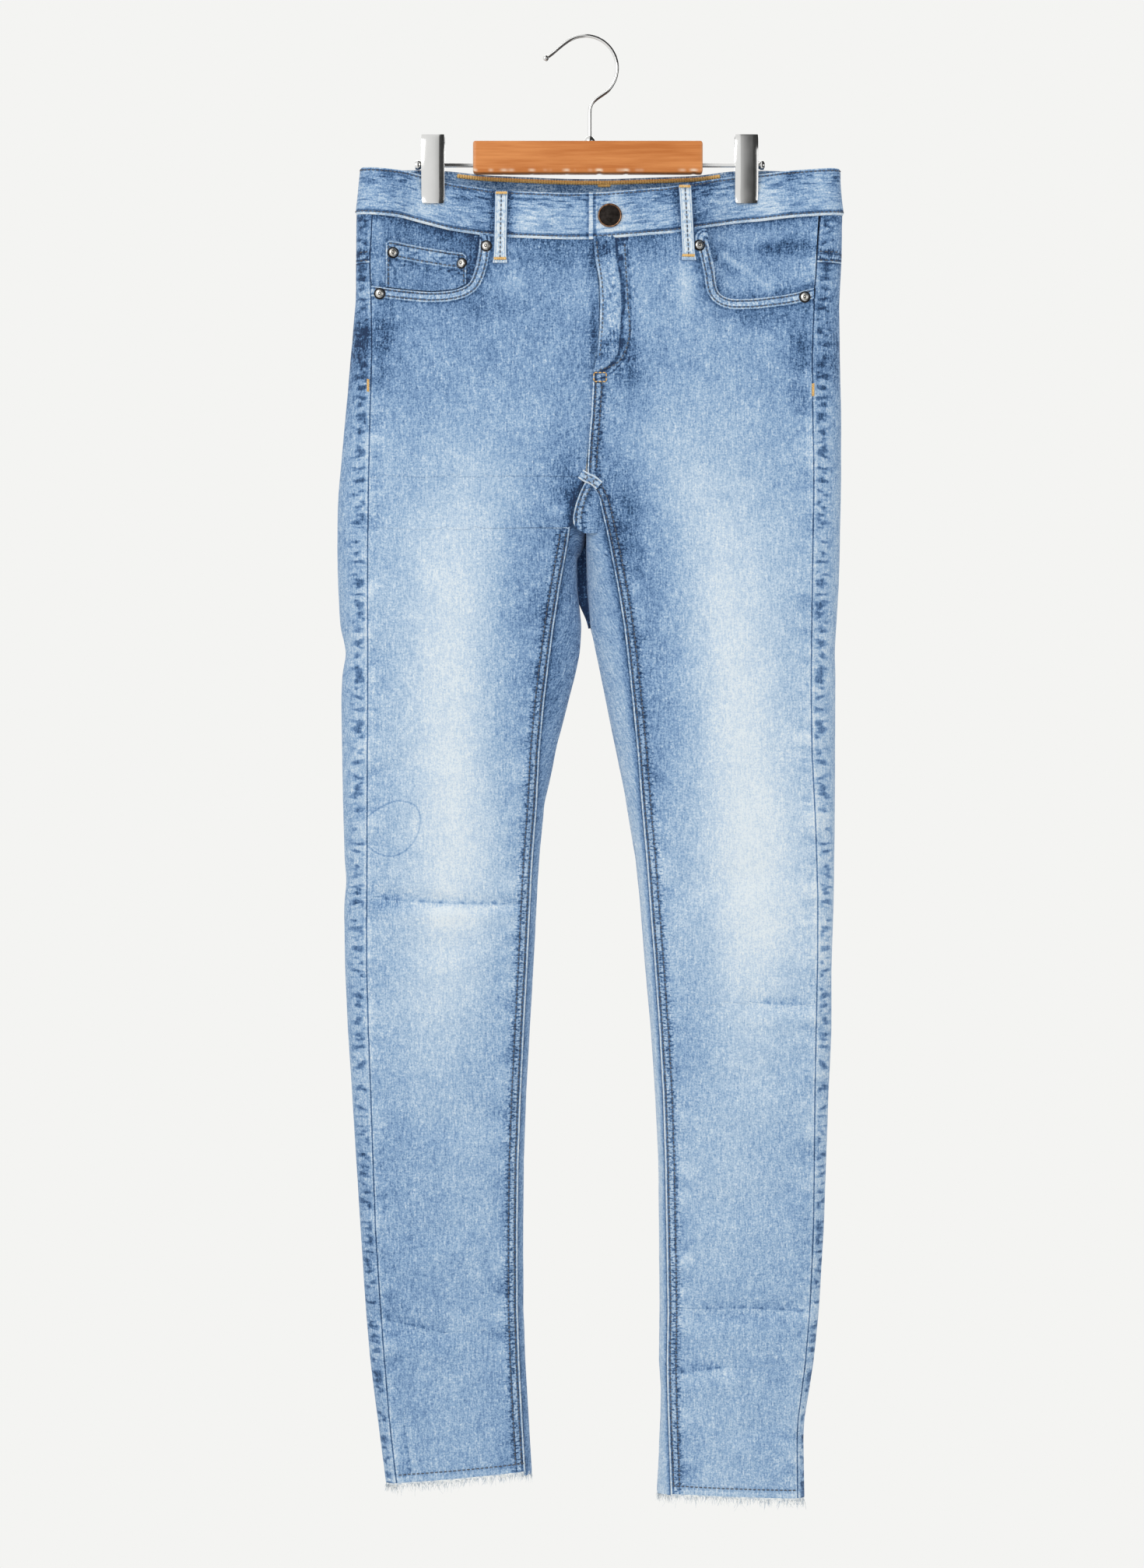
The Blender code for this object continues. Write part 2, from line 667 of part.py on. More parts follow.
def build_back(half, grid):
    """A back leg, which wraps round both edges of the leg on to the front."""
    last = grid.back_last
    cells = grid_cells(range(YOKE_ROWS, grid.crotch_row), range(last))
    cells += grid_cells(range(grid.crotch_row, grid.count - 1), range(last + BRIDGE_STEPS))
    points, normals = back_points(grid, cells, YOKE_ROWS, grid.count - 1, last)
    flipped = [tuple(reversed(cell)) for cell in cells]
    return wall(f"back_{half.name}", points, normals, flipped, PANEL_WALL, half, denim(),
                middle="back")


def surface_of(carrier):
    """What finds the outer face of a made piece, in millimetres."""
    points = [vert.co / MM for vert in carrier.data.vertices]
    faces = [list(polygon.vertices) for polygon in carrier.data.polygons]
    return BVHTree.FromPolygons(points, faces)


def lie_on(surface, half, face, across, z):
    """The point of a made piece that is seen at a place from the front or the back."""
    toward = 1.0 if face == "front" else -1.0
    place = half.place(face, across, z)
    start = (half.sign * across, -toward * 500.0, z)
    hit = surface.ray_cast(start, (0.0, toward, 0.0))[0]
    if hit is not None and hit[1] * toward < 0:
        place = (across, hit[1], z)
    return np.array(place)


def clear_of(surface, half, face, across, z, reach):
    """The place over a made piece that clears its bumps within reach, and the way out of it."""
    out = face_normal(half, face, across, z)
    here = lie_on(surface, half, face, across, z)
    near = [lie_on(surface, half, face, across + a * reach, z + b * reach)
            for a in (-1, 0, 1) for b in (-1, 0, 1)]
    bump = max(float(np.dot(spot - here, out)) for spot in near)
    return here + out * max(bump, 0.0), out


def patch(name, half, face, rows, thickness, carrier, look):
    """A piece that lies on another. Each row is a list of (across, z) places."""
    points = {}
    normals = {}
    surface = surface_of(carrier)
    for r, row in enumerate(rows):
        for c, (across, z) in enumerate(row):
            points[r, c], normals[r, c] = clear_of(surface, half, face, across, z, PATCH_REACH)
    cells = grid_cells(range(len(rows) - 1), range(len(rows[0]) - 1))
    return wall(name, points, normals, cells, thickness, half, look, lift=PATCH_LIFT + thickness)


def face_normal(half, face, across, z, step=3.0):
    east = np.array(half.place(face, across + step, z)) - half.place(face, across - step, z)
    north = np.array(half.place(face, across, z + step)) - half.place(face, across, z - step)
    out = unit(np.cross(east, north))
    wanted = 1 if face == "back" else -1
    return out if out[1] * wanted > 0 else -out


def build_coin_pocket(half, facing):
    """A small pocket on the facing. Its foot is hidden by the front."""
    rows = []
    for step in range(COIN_STEPS + 1):
        share = step / COIN_STEPS
        row = []
        for n in range(COIN_COLUMNS + 1):
            across = mix(COIN_X[0], COIN_X[1], n / COIN_COLUMNS)
            foot = line(RIGHT_MOUTH[2:], across) + COIN_FOOT_CLEAR
            row.append((across, mix(line(COIN_TOP, across), foot, share)))
        rows.append(row)
    return patch("coin_pocket", half, "front", rows, PATCH_WALL, facing, denim())


def build_fly(half, front):
    """The raised layer between the front edge and the J-shaped seam."""
    rows = []
    for z, curve in FLY_CURVE:
        edge = line(FRONT_EDGE, z) + SEAM_GAP
        rows.append([(mix(edge, curve, share), z) for share in (0.0, 0.34, 0.67, 1.0)])
    return patch("fly", half, "front", rows, PATCH_WALL, front, denim())


def build_back_pocket(half, back):
    """A plain five-sided patch pocket."""
    rows = []
    for step in range(POCKET_STEPS + 2):
        share = min(step / POCKET_STEPS, 1.0)
        width = mix(*POCKET_HALF_WIDTHS, share)
        row = []
        for n in range(POCKET_COLUMNS + 1):
            across = mix(-width, width, n / POCKET_COLUMNS)
            point = (POCKET_POINT - POCKET_Z[1]) * (1 - abs(across) / width)
            foot = point - POCKET_FOOT if step > POCKET_STEPS else 0.0
            row.append((POCKET_X + across, mix(*POCKET_Z, share) + foot))
        rows.append(row)
    return patch(f"back_pocket_{half.name}", half, "back", rows, PATCH_WALL, back, denim())


def band_quarter(half, face, share, z):
    """A point of the waist ring: share 0 at the middle and 1 at the outer edge."""
    outer = half.outer(z)
    start = half.middle(z, face)
    fine = half.stretch(face, start, outer, z, 60)
    points = np.array(fine)
    gone = np.concatenate(([0.0], np.cumsum(np.linalg.norm(np.diff(points, axis=0), axis=1))))
    at = share * gone[-1]
    return half.world([np.interp(at, gone, points[:, k]) for k in range(3)])


def build_waistband(halves):
    """One strip round the waist. Its right end runs on behind its left end."""
    ring = []
    shares = [1 - (1 - n / BAND_SECTIONS) ** BAND_EASE for n in range(BAND_SECTIONS + 1)]
    for half, face, order in ((halves["right"], "front", 1), (halves["right"], "back", -1),
                              (halves["left"], "back", 1), (halves["left"], "front", -1)):
        quarter = [(half, face, share) for share in shares[::order]]
        if ring:
            quarter = quarter[1:]
        ring += quarter
    sections = []
    for half, face, share in ring:
        across = band_quarter(half, face, share, BAND_MIDDLE_Z)[0]
        top = band_top(across, face)
        heights = [top, top - BAND_HEIGHT / 2, top - BAND_HEIGHT]
        sections.append([band_quarter(half, face, share, z) for z in heights])
    outs = []
    for n in range(len(sections)):
        before = sections[max(n - 1, 0)][1]
        after = sections[min(n + 1, len(sections) - 1)][1]
        run = unit(np.array((after[0] - before[0], after[1] - before[1], 0.0)))
        outs.append(np.array((run[1], -run[0], 0.0)) * -1)
    points = []
    for section, out in zip(sections, outs):
        outer = [point + out * BAND_PROUD for point in section]
        inner = [point + out * (BAND_PROUD - BAND_WALL) for point in reversed(section)]
        points.append(outer + inner)
    # The right end runs on under the left one, a wall's thickness further in.
    step_back = np.array((0.0, BAND_WALL + SEAM_GAP, 0.0))
    start = points[0]
    tongue = []
    for reach in (BAND_UNDERLAP, UNDERLAP_ROOT):
        shift = np.array((reach, 0.0, 0.0))
        tongue.append([point + shift + step_back for point in start])
    points[0] = [point + np.array((-UNDERLAP_STEP, 0.0, 0.0)) for point in start]
    points = tongue + points
    size = len(points[0])
    verts = [point for section in points for point in section]
    faces = [list(range(size)), [len(verts) - 1 - n for n in range(size)]]
    for r in range(len(points) - 1):
        for c in range(size):
            d = (c + 1) % size
            faces.append([r * size + c, r * size + d, (r + 1) * size + d, (r + 1) * size + c])
    return add_object("waistband", verts, faces, denim())


def build_belt_loop(name, half, face, across, foot_z, carriers):
    """A loop: sewn at the band's top edge and below it, and bowed between."""
    surfaces = [surface_of(carrier) for carrier in carriers]
    toward = 1.0 if face == "back" else -1.0
    top = band_top(half.sign * across, face)
    band_foot = top - BAND_HEIGHT
    heights = [top - drop for drop in LOOP_DROPS]
    heights += [band_foot + LOOP_PAST_BAND, band_foot - LOOP_PAST_BAND]
    heights += [foot_z + LOOP_TACK, foot_z]
    points = {}
    normals = {}
    for r, z in enumerate(heights):
        bow = LOOP_BOW * math.sin(math.pi * min((top - z) / (top - band_foot), 1.0))
        spread = LOOP_WIDTH / 2 * (LOOP_FLARE if z == foot_z else 1.0)
        for c, offset in enumerate((-spread, 0.0, spread)):
            under = [lie_on(surface, half, face, across + offset, at)[1]
                     for surface in surfaces for at in (z, z + LOOP_CLEAR)]
            y = max(toward * depth for depth in under) + PATCH_LIFT + bow
            points[r, c] = np.array((across + offset, toward * y, z))
            normals[r, c] = np.array((0.0, toward, 0.0))
    cells = grid_cells(range(len(heights) - 1), range(2))
    return wall(name, points, normals, cells, LOOP_WALL, half, denim(), lift=LOOP_WALL)


def turned(name, profile, look, at, axis, steps=12):
    """A turned solid: profile rows are (radius, distance along the axis) from a closed start."""
    axis = unit(np.array(axis, float))
    helper = np.array((0.0, 0.0, 1.0)) if abs(axis[2]) < 0.9 else np.array((1.0, 0.0, 0.0))
    first = unit(np.cross(axis, helper))
    second = np.cross(axis, first)
    verts = []
    for radius, gone in profile:
        for n in range(steps):
            turn = 2 * math.pi * n / steps
            ray = first * math.cos(turn) + second * math.sin(turn)
            verts.append(np.array(at) + axis * gone + ray * radius)
    faces = [list(range(steps)), [len(verts) - 1 - n for n in range(steps)]]
    for r in range(len(profile) - 1):
        for n in range(steps):
            m = (n + 1) % steps
            faces.append([r * steps + n, r * steps + m, (r + 1) * steps + m, (r + 1) * steps + n])
    return add_object(name, verts, faces, look)


def build_metal(halves, pieces):
    """The button and the rivets, each on the cloth that carries it."""
    x, z = BUTTON_AT
    half = halves["left"]
    base, out = clear_of(surface_of(pieces["waistband"]), half, "front", x, z, BUTTON_FOOT)
    base = half.world(base + out * SEAM_GAP)
    button = ((BUTTON_FOOT, 0.0), (BUTTON_FOOT, 1.0), (8.3, 1.4), (BUTTON_RADIUS, 2.2),
              (BUTTON_RADIUS, 3.0), (8.0, 3.7), (7.2, 3.2), (3.5, 3.0))
    turned("button", button, material("button", COPPER, 0.35, 1.0), base, half.world(out), 16)
    dome = ((RIVET_RADIUS, 0.0), (RIVET_RADIUS, 0.5), (3.0, 1.2), (1.4, 1.6))
    for n, (side, across, z, carrier) in enumerate(RIVETS):
        half = halves[side]
        surface = surface_of(pieces[carrier])
        base, out = clear_of(surface, half, "front", across, z, RIVET_RADIUS)
        base = half.world(base + out * SEAM_GAP)
        turned(f"rivet_{n + 1}", dome, material("rivet", RIVET_METAL, 0.35, 1.0), base,
               half.world(out), 10)


def build_fringe(half, grid):
    """The frayed hem: a narrow ring just under the wall, with strands that hang from it."""
    last_row = grid.count - 1
    ring = [grid.front[last_row, n] for n in range(len(FRONT_SHARES) - 1, -1, -1)]
    ring += [grid.back[last_row, n] for n in range(1, grid.back_last + BRIDGE_STEPS)]
    ring = np.array(ring + ring[:1])
    gone = np.concatenate(([0.0], np.cumsum(np.linalg.norm(np.diff(ring, axis=0), axis=1))))
    wanted = np.linspace(0.0, gone[-1], STRANDS + 1)[:-1]
    base = [np.array([np.interp(at, gone, ring[:, k]) for k in range(3)]) for at in wanted]
    chance = random.Random(11 if half.name == "right" else 23)
    rings = [[], [], [], []]
    for n in range(STRANDS):
        run = unit(base[(n + 1) % STRANDS] - base[n - 1])
        out = unit(np.array((run[1], -run[0], 0.0)))
        centre = ring[:-1].mean(axis=0)
        if np.dot(out, base[n] - centre) < 0:
            out = -out
        top = base[n] - out * STRIP_INSET - np.array((0.0, 0.0, SEAM_GAP))
        foot = top - np.array((0.0, 0.0, STRIP_HEIGHT))
        for k, (spot, inward) in enumerate(((top, 0), (foot, 0), (foot, 1), (top, 1))):
            rings[k].append(spot - out * STRIP_WALL * inward)
    tips = []
    spacing = gone[-1] / STRANDS
    for n in range(STRANDS):
        m = (n + 1) % STRANDS
        mean = (rings[1][n] + rings[1][m] + rings[2][n] + rings[2][m]) / 4
        lean = unit(rings[1][m] - rings[1][n]) * chance.uniform(-0.35, 0.35) * spacing
        out = unit(rings[1][n] - rings[2][n]) * chance.uniform(-0.6, 0.9)
        fall = chance.uniform(*STRAND_LENGTH)
        if chance.random() < LONG_STRAND_SHARE:
            fall *= LONG_STRAND
        tips.append(mean + lean + out - np.array((0.0, 0.0, fall)))
    verts = [half.world(point) for k in range(4) for point in rings[k]]
    verts += [half.world(tip) for tip in tips]
    faces = []
    for n in range(STRANDS):
        m = (n + 1) % STRANDS
        a, b, c, d, tip = (k * STRANDS for k in range(5))
        faces.append([a + n, a + m, b + m, b + n])
        faces.append([c + n, c + m, d + m, d + n])
        faces.append([d + n, d + m, a + m, a + n])
        corners = [b + n, b + m, c + m, c + n]
        for p, q in zip(corners, corners[1:] + corners[:1]):
            faces.append([p, q, tip + n])
    return add_object(f"fringe_{half.name}", verts, faces, material("frayed cotton", FRAY, 0.95))


def build_hanger():
    steel = material("polished steel", STEEL, 0.18, 1.0)
    wood = material("varnished wood", WOOD, 0.35)
    length = BLOCK_X[1] - BLOCK_X[0]
    height = BLOCK_Z[1] - BLOCK_Z[0]
    bpy.ops.mesh.primitive_cube_add(size=1.0)
    block = bpy.context.object
    block.name = "hanger_block"
    for vert in block.data.vertices:
        vert.co = (vert.co.x * length * MM, vert.co.y * BLOCK_DEPTH * MM, vert.co.z * height * MM)
    block.location = (sum(BLOCK_X) / 2 * MM, 0.0, sum(BLOCK_Z) / 2 * MM)
    bevel = block.modifiers.new("worn edges", "BEVEL")
    bevel.width = 1.6 * MM
    bevel.segments = 2
    block.data.materials.append(wood)
    for side, start in (("right", BLOCK_X[0]), ("left", BLOCK_X[1])):
        sign = SIDES[side]
        run = ROD_END_X - abs(start) - SEAM_GAP
        profile = ((ROD_RADIUS, 0.0), (ROD_RADIUS, run - 5.4), (2.6, run - 4.6),
                   (KNOB_RADIUS, run - 3.4), (KNOB_RADIUS, run - 0.8), (2.6, run))
        at = (start + sign * SEAM_GAP, 0.0, ROD_Z)
        turned(f"hanger_rod_{side}", profile, steel, at, (sign, 0, 0))
        for face, toward in (("front", -1), ("back", 1)):
            build_clip_jaw(f"hanger_clip_{side}_{face}", sign * CLIP_X, toward, steel)
    build_hook(steel)


def build_clip_jaw(name, x, toward, look):
    """One jaw of a clip: a sheet with a rolled top and two side flanges."""
    Jaw = namedtuple("Jaw", "z plate flange width")
    jaws = (
        Jaw(CLIP_Z[0], 4.6, 1.1, 0.86), Jaw(CLIP_Z[0] + 2.5, 3.9, 1.1, 0.96),
        Jaw(-117.0, 4.2, 1.2, 1.0), Jaw(-106.0, 6.4, 1.2, 1.0), Jaw(-101.0, 7.2, 4.4, 1.0),
        Jaw(-92.0, 7.7, 4.9, 1.0), Jaw(-84.0, 7.4, 4.2, 1.0), Jaw(-79.0, 6.9, 1.3, 1.0),
        Jaw(-75.0, 6.0, 1.4, 0.99), Jaw(CLIP_Z[1], 4.6, 1.5, 0.97),
    )
    points = []
    for jaw in jaws:
        half = CLIP_WIDTH / 2 * jaw.width
        inside = half - CLIP_SHEET
        near = jaw.plate
        far = jaw.plate + CLIP_SHEET
        tip = far - max(jaw.flange, CLIP_SHEET + 0.05)
        loop = ((-half, far), (half, far), (half, tip), (inside, tip), (inside, near),
                (-inside, near), (-inside, tip), (-half, tip))
        points += [(x + across, toward * depth, jaw.z) for across, depth in loop]
    faces = [list(range(8)), [len(points) - 1 - n for n in range(8)]]
    for r in range(len(jaws) - 1):
        for c in range(8):
            d = (c + 1) % 8
            faces.append([r * 8 + c, r * 8 + d, r * 8 + 8 + d, r * 8 + 8 + c])
    add_object(name, points, faces, look, 30.0)


def build_hook(look):
    """A wire bent into a hook, with a ball on its tip and a collar where it meets the block."""
    path = [(0.0, BLOCK_Z[1] + HOOK_ROOT), *HOOK_STEM]
    for turn in HOOK_TURNS:
        angle = math.radians(turn)
        path.append((HOOK_CENTRE[0] + HOOK_RADIUS * math.cos(angle),
                     HOOK_CENTRE[1] + HOOK_RADIUS * math.sin(angle)))
    path += HOOK_TAIL
    curve = bpy.data.curves.new("hanger_hook", "CURVE")
    curve.dimensions = "3D"
    curve.bevel_depth = HOOK_WIRE * MM
    curve.bevel_resolution = 2
    curve.use_fill_caps = True
    curve.render_resolution_u = 0
    spline = curve.splines.new("POLY")
    spline.points.add(len(path) - 1)
    for point, (x, z) in zip(spline.points, path):
        point.co = (x * MM, 0.0, z * MM, 1.0)
    curve.materials.append(look)
    hook = bpy.data.objects.new("hanger_hook", curve)
    bpy.context.scene.collection.objects.link(hook)
    tip_end = np.array((path[-1][0], 0.0, path[-1][1]))
    way = unit(tip_end - np.array((path[-2][0], 0.0, path[-2][1])))
    ball = [(HOOK_TIP * math.sin(math.radians(turn)),
             HOOK_TIP * (0.86 - math.cos(math.radians(turn)))) for turn in (32, 60, 90, 125, 155)]
    turned("hanger_hook_tip", ball, look, tip_end + way * SEAM_GAP, way, 10)
    collar = ((COLLAR_RADIUS, 0.0), (COLLAR_RADIUS, 1.3), (3.2, 2.4), (2.2, 3.6))
    turned("hanger_collar", collar, look, (0.0, 0.0, BLOCK_Z[1] + SEAM_GAP), (0, 0, 1))


def build():
    clear_scene()
    halves = {name: Half(name) for name in SIDES}
    pieces = {}
    for half in halves.values():
        grid = HalfGrid(half)
        made = [build_front(half, grid), build_pocket_facing(half, grid), build_yoke(half, grid),
                build_back(half, grid), build_fringe(half, grid)]
        pieces.update((piece.name, piece) for piece in made)
        build_back_pocket(half, pieces[f"back_{half.name}"])
    right = halves["right"]
    left = halves["left"]
    pieces["coin_pocket"] = build_coin_pocket(right, pieces["pocket_facing_right"])
    build_fly(left, pieces["front_left"])
    pieces["waistband"] = build_waistband(halves)
    band = pieces["waistband"]
    for name, half, face, across, foot_z, panel in (
            ("front_right", right, "front", 66.4, -172.6, "front_right"),
            ("front_left", left, "front", 71.5, -170.3, "front_left"),
            ("back_right", right, "back", 82.0, -158.0, "yoke_right"),
            ("back_left", left, "back", 82.0, -158.0, "yoke_left"),
            ("back_middle", left, "back", 0.0, -161.0, "yoke_left")):
        carriers = [band, pieces[panel]]
        build_belt_loop(f"belt_loop_{name}", half, face, across, foot_z, carriers)
    build_metal(halves, pieces)
    build_hanger()


build()
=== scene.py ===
"""The looks of slim fit jeans on a clip hanger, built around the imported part.

Sizes are in millimetres unless a name says otherwise. The right leg is the wearer's, at -X, and
the front faces -Y.
"""

import math
from collections import namedtuple

import bmesh
import bpy
import numpy as np
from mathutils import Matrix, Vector


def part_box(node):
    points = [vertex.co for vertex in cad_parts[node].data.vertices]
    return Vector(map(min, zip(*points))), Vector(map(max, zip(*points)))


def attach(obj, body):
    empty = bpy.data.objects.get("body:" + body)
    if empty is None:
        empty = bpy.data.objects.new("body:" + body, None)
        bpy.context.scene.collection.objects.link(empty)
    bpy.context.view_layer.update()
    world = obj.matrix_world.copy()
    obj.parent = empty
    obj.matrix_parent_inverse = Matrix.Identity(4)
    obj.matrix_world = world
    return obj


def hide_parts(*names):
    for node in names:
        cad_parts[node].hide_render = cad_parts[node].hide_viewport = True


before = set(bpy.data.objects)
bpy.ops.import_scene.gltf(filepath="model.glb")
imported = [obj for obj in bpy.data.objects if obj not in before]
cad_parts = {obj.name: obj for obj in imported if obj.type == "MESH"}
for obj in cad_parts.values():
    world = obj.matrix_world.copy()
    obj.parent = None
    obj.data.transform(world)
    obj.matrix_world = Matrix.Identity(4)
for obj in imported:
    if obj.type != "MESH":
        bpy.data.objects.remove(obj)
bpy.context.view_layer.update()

# ------------------------------------------------------------------------------ front legs
# Each front leg is one panel of stretch denim, scooped out at the top for the pocket mouth and
# turned under there. It is felled over the back leg at the inseam with two rows of stitches.

MM = 0.001


def table(kind, *rows):
    """Named rows from plain ones."""
    return [kind(*row) for row in rows]


Level = namedtuple("Level", "z outer side_seam inseam inner")
RIGHT_LEVELS = table(Level,
    (-98, 172.4, 163.9, 0, 0), (-135, 176.3, 163.9, 0, 0), (-170, 176.6, 165.8, 0, 0),
    (-200, 176.9, 164.6, 0, 0), (-240, 180.5, 164.0, 0, 0), (-290, 184.9, 165.3, 0, 0),
    (-333, 189.0, 166.2, 3.8, 3.15), (-350, 190.2, 166.4, 12.3, 6.4),
    (-378, 190.8, 166.8, 15.7, 9.2), (-386, 190.8, 166.8, 17.0, 9.6),
    (-415, 190.1, 166.8, 22.4, 9.2), (-445, 188.5, 166.8, 27.1, 6.2),
    (-465, 183.6, 166.8, 29.7, 7.0), (-480, 187.0, 166.8, 31.6, 10.3),
    (-500, 187.7, 166.8, 34.1, 15.7), (-540, 187.1, 167.1, 37.8, 25.5),
    (-580, 186.4, 167.3, 39.8, 34.0), (-620, 185.2, 167.5, 43.0, 38.0),
    (-637, 183.6, 167.6, 43.9, 39.0), (-655, 185.6, 167.7, 44.8, 40.0),
    (-700, 184.9, 167.8, 46.9, 42.3), (-750, 182.7, 166.5, 49.6, 45.2),
    (-800, 179.4, 164.6, 52.0, 48.0), (-850, 176.3, 163.0, 53.8, 49.7),
    (-900, 173.1, 161.2, 54.4, 50.1), (-960, 169.2, 157.4, 54.3, 49.9),
    (-1000, 165.7, 154.3, 53.0, 48.4), (-1043, 160.2, 150.9, 50.8, 46.0),
    (-1088, 154.3, 145.7, 48.2, 43.4), (-1104, 152.6, 143.9, 47.6, 42.8))
LEFT_LEVELS = table(Level,
    (-98, 187.7, 173.8, 0, 0), (-135, 191.1, 173.8, 0, 0), (-170, 190.2, 170.8, 0, 0),
    (-200, 188.8, 168.9, 0, 0), (-240, 188.9, 167.2, 0, 0), (-290, 190.1, 167.6, 0, 0),
    (-333, 189.9, 168.4, -2.2, -2.85), (-350, 189.7, 168.2, 6.9, -2.8),
    (-378, 189.2, 167.6, 13.4, -2.7), (-415, 188.1, 167.1, 20.7, -2.2),
    (-445, 186.2, 166.7, 25.7, -0.3), (-465, 185.0, 166.5, 28.1, 4.0),
    (-480, 185.7, 166.3, 29.7, 7.5), (-500, 185.6, 166.3, 31.9, 11.8),
    (-540, 185.4, 166.9, 35.9, 20.0), (-580, 185.3, 169.1, 39.0, 27.6),
    (-620, 184.8, 170.8, 42.6, 34.5), (-650, 184.4, 171.5, 44.9, 37.6),
    (-700, 182.7, 171.4, 48.8, 41.6), (-750, 182.6, 170.2, 52.4, 46.0),
    (-800, 180.3, 169.4, 55.2, 49.3), (-850, 178.6, 169.0, 56.7, 51.5),
    (-900, 176.8, 168.5, 57.6, 52.1), (-960, 173.2, 165.8, 58.6, 52.7),
    (-1000, 169.1, 162.4, 58.0, 52.2), (-1020, 166.0, 159.9, 58.4, 53.6),
    (-1043, 162.0, 156.8, 59.0, 53.4), (-1060, 161.4, 156.2, 59.6, 52.4),
    (-1095, 162.1, 156.6, 60.9, 50.8), (-1112, 162.3, 156.8, 61.2, 50.4))
Depth = namedtuple("Depth", "z front back edge turn")
DEPTHS = table(Depth,
    (-98, 12.0, 13.0, 7.0, 14.0), (-140, 17.0, 18.0, 8.5, 16.0), (-190, 24.0, 26.0, 10.0, 20.0),
    (-245, 29.0, 33.0, 12.0, 24.0), (-300, 31.0, 36.0, 13.0, 26.0), (-337, 31.0, 36.0, 14.0, 28.0),
    (-400, 29.0, 33.0, 14.0, 28.0), (-480, 26.0, 29.0, 14.0, 26.0), (-560, 23.0, 25.0, 13.0, 24.0),
    (-640, 20.5, 21.0, 12.0, 22.0), (-740, 19.5, 20.0, 11.0, 20.0), (-850, 18.0, 19.0, 10.0, 18.0),
    (-950, 16.0, 17.0, 9.0, 16.0), (-1040, 14.5, 14.5, 9.0, 15.0), (-1112, 13.5, 13.5, 9.0, 14.0))
CROTCH_Z = -333.0
FLY_END = -257.0
FLY_CURVE = ((23.3, -120.0), (23.3, -156.5), (24.0, -175.0), (25.1, -195.0), (25.6, -213.0),
             (25.0, -228.0), (22.8, -239.0), (18.6, -247.0), (12.0, -253.0), (3.0, -256.5),
             (-6.0, -257.5))
LOBE_END = -372.0
FLY_RIDGE = 16.6  # from the fly's edge to its curve
LEGS_ROUND_Z = -450.0
FRONT_EDGE = ((-122, 2.9), (-159, 2.9), (-170, 4.3), (-187, 7.0), (-203, 7.8), (-224, 7.0),
              (-245, 5.0), (-257, 2.3), (-268, 2.1), (-288, 0.9), (-311, -1.0), (-333, -3.0))
BACK_EDGE = ((-98, 0.0), (-240, -1.0), (-345, -3.0))
BAND_TOP_FRONT = ((-189, -98), (-172, -98.4), (-140, -101), (-108, -109.7), (-74.5, -117.0),
                  (-22, -119.4), (4.4, -119.4), (66, -114), (108, -105), (188, -99))
BAND_TOP_BACK = ((-189, -98), (-172, -98.4), (-107, -100.5), (-87, -101.8), (-22, -104.4),
                 (11, -104.7), (48, -103.6), (85.5, -102.4), (108, -100.5), (188, -99))
BAND_HEIGHT = 35.5
HEM = {"right": ((43, -1080.6), (154, -1090.6)), "left": ((50, -1097.2), (162, -1101.6))}
MOUTHS = {
    "right": ((82.6, -155.0), (83.3, -165.5), (85.9, -177.2), (91.0, -187.5), (101.0, -191.9),
              (118.0, -193.4), (133.6, -192.4), (149.0, -191.0), (164.8, -188.8)),
    "left": ((87.0, -153.9), (90.0, -163.5), (93.2, -178.0), (96.0, -192.5), (104.0, -198.3),
             (119.0, -198.8), (134.0, -197.4), (151.0, -195.2), (168.6, -190.6)),
}
MOUTH_CORNER = 3  # the point of a mouth where its side part meets its lower part
CLIP_X = 118.3
CLIP_HALF_WIDTH = 8.8
CLIP_SPREAD = 19.0
CLIP_HALF_DEPTH = 2.2
PANEL_WALL = 1.4
SEAM_GAP = 0.3
TUCK = 2.0  # panels run this far up behind the waistband's foot
ROW_PITCH = 2.8
SEAM_OFFSETS = (0.0, 0.7, 1.9, 3.4, 5.2, 7.0, 8.4, 9.8, 12.0)  # finer columns beside a seam

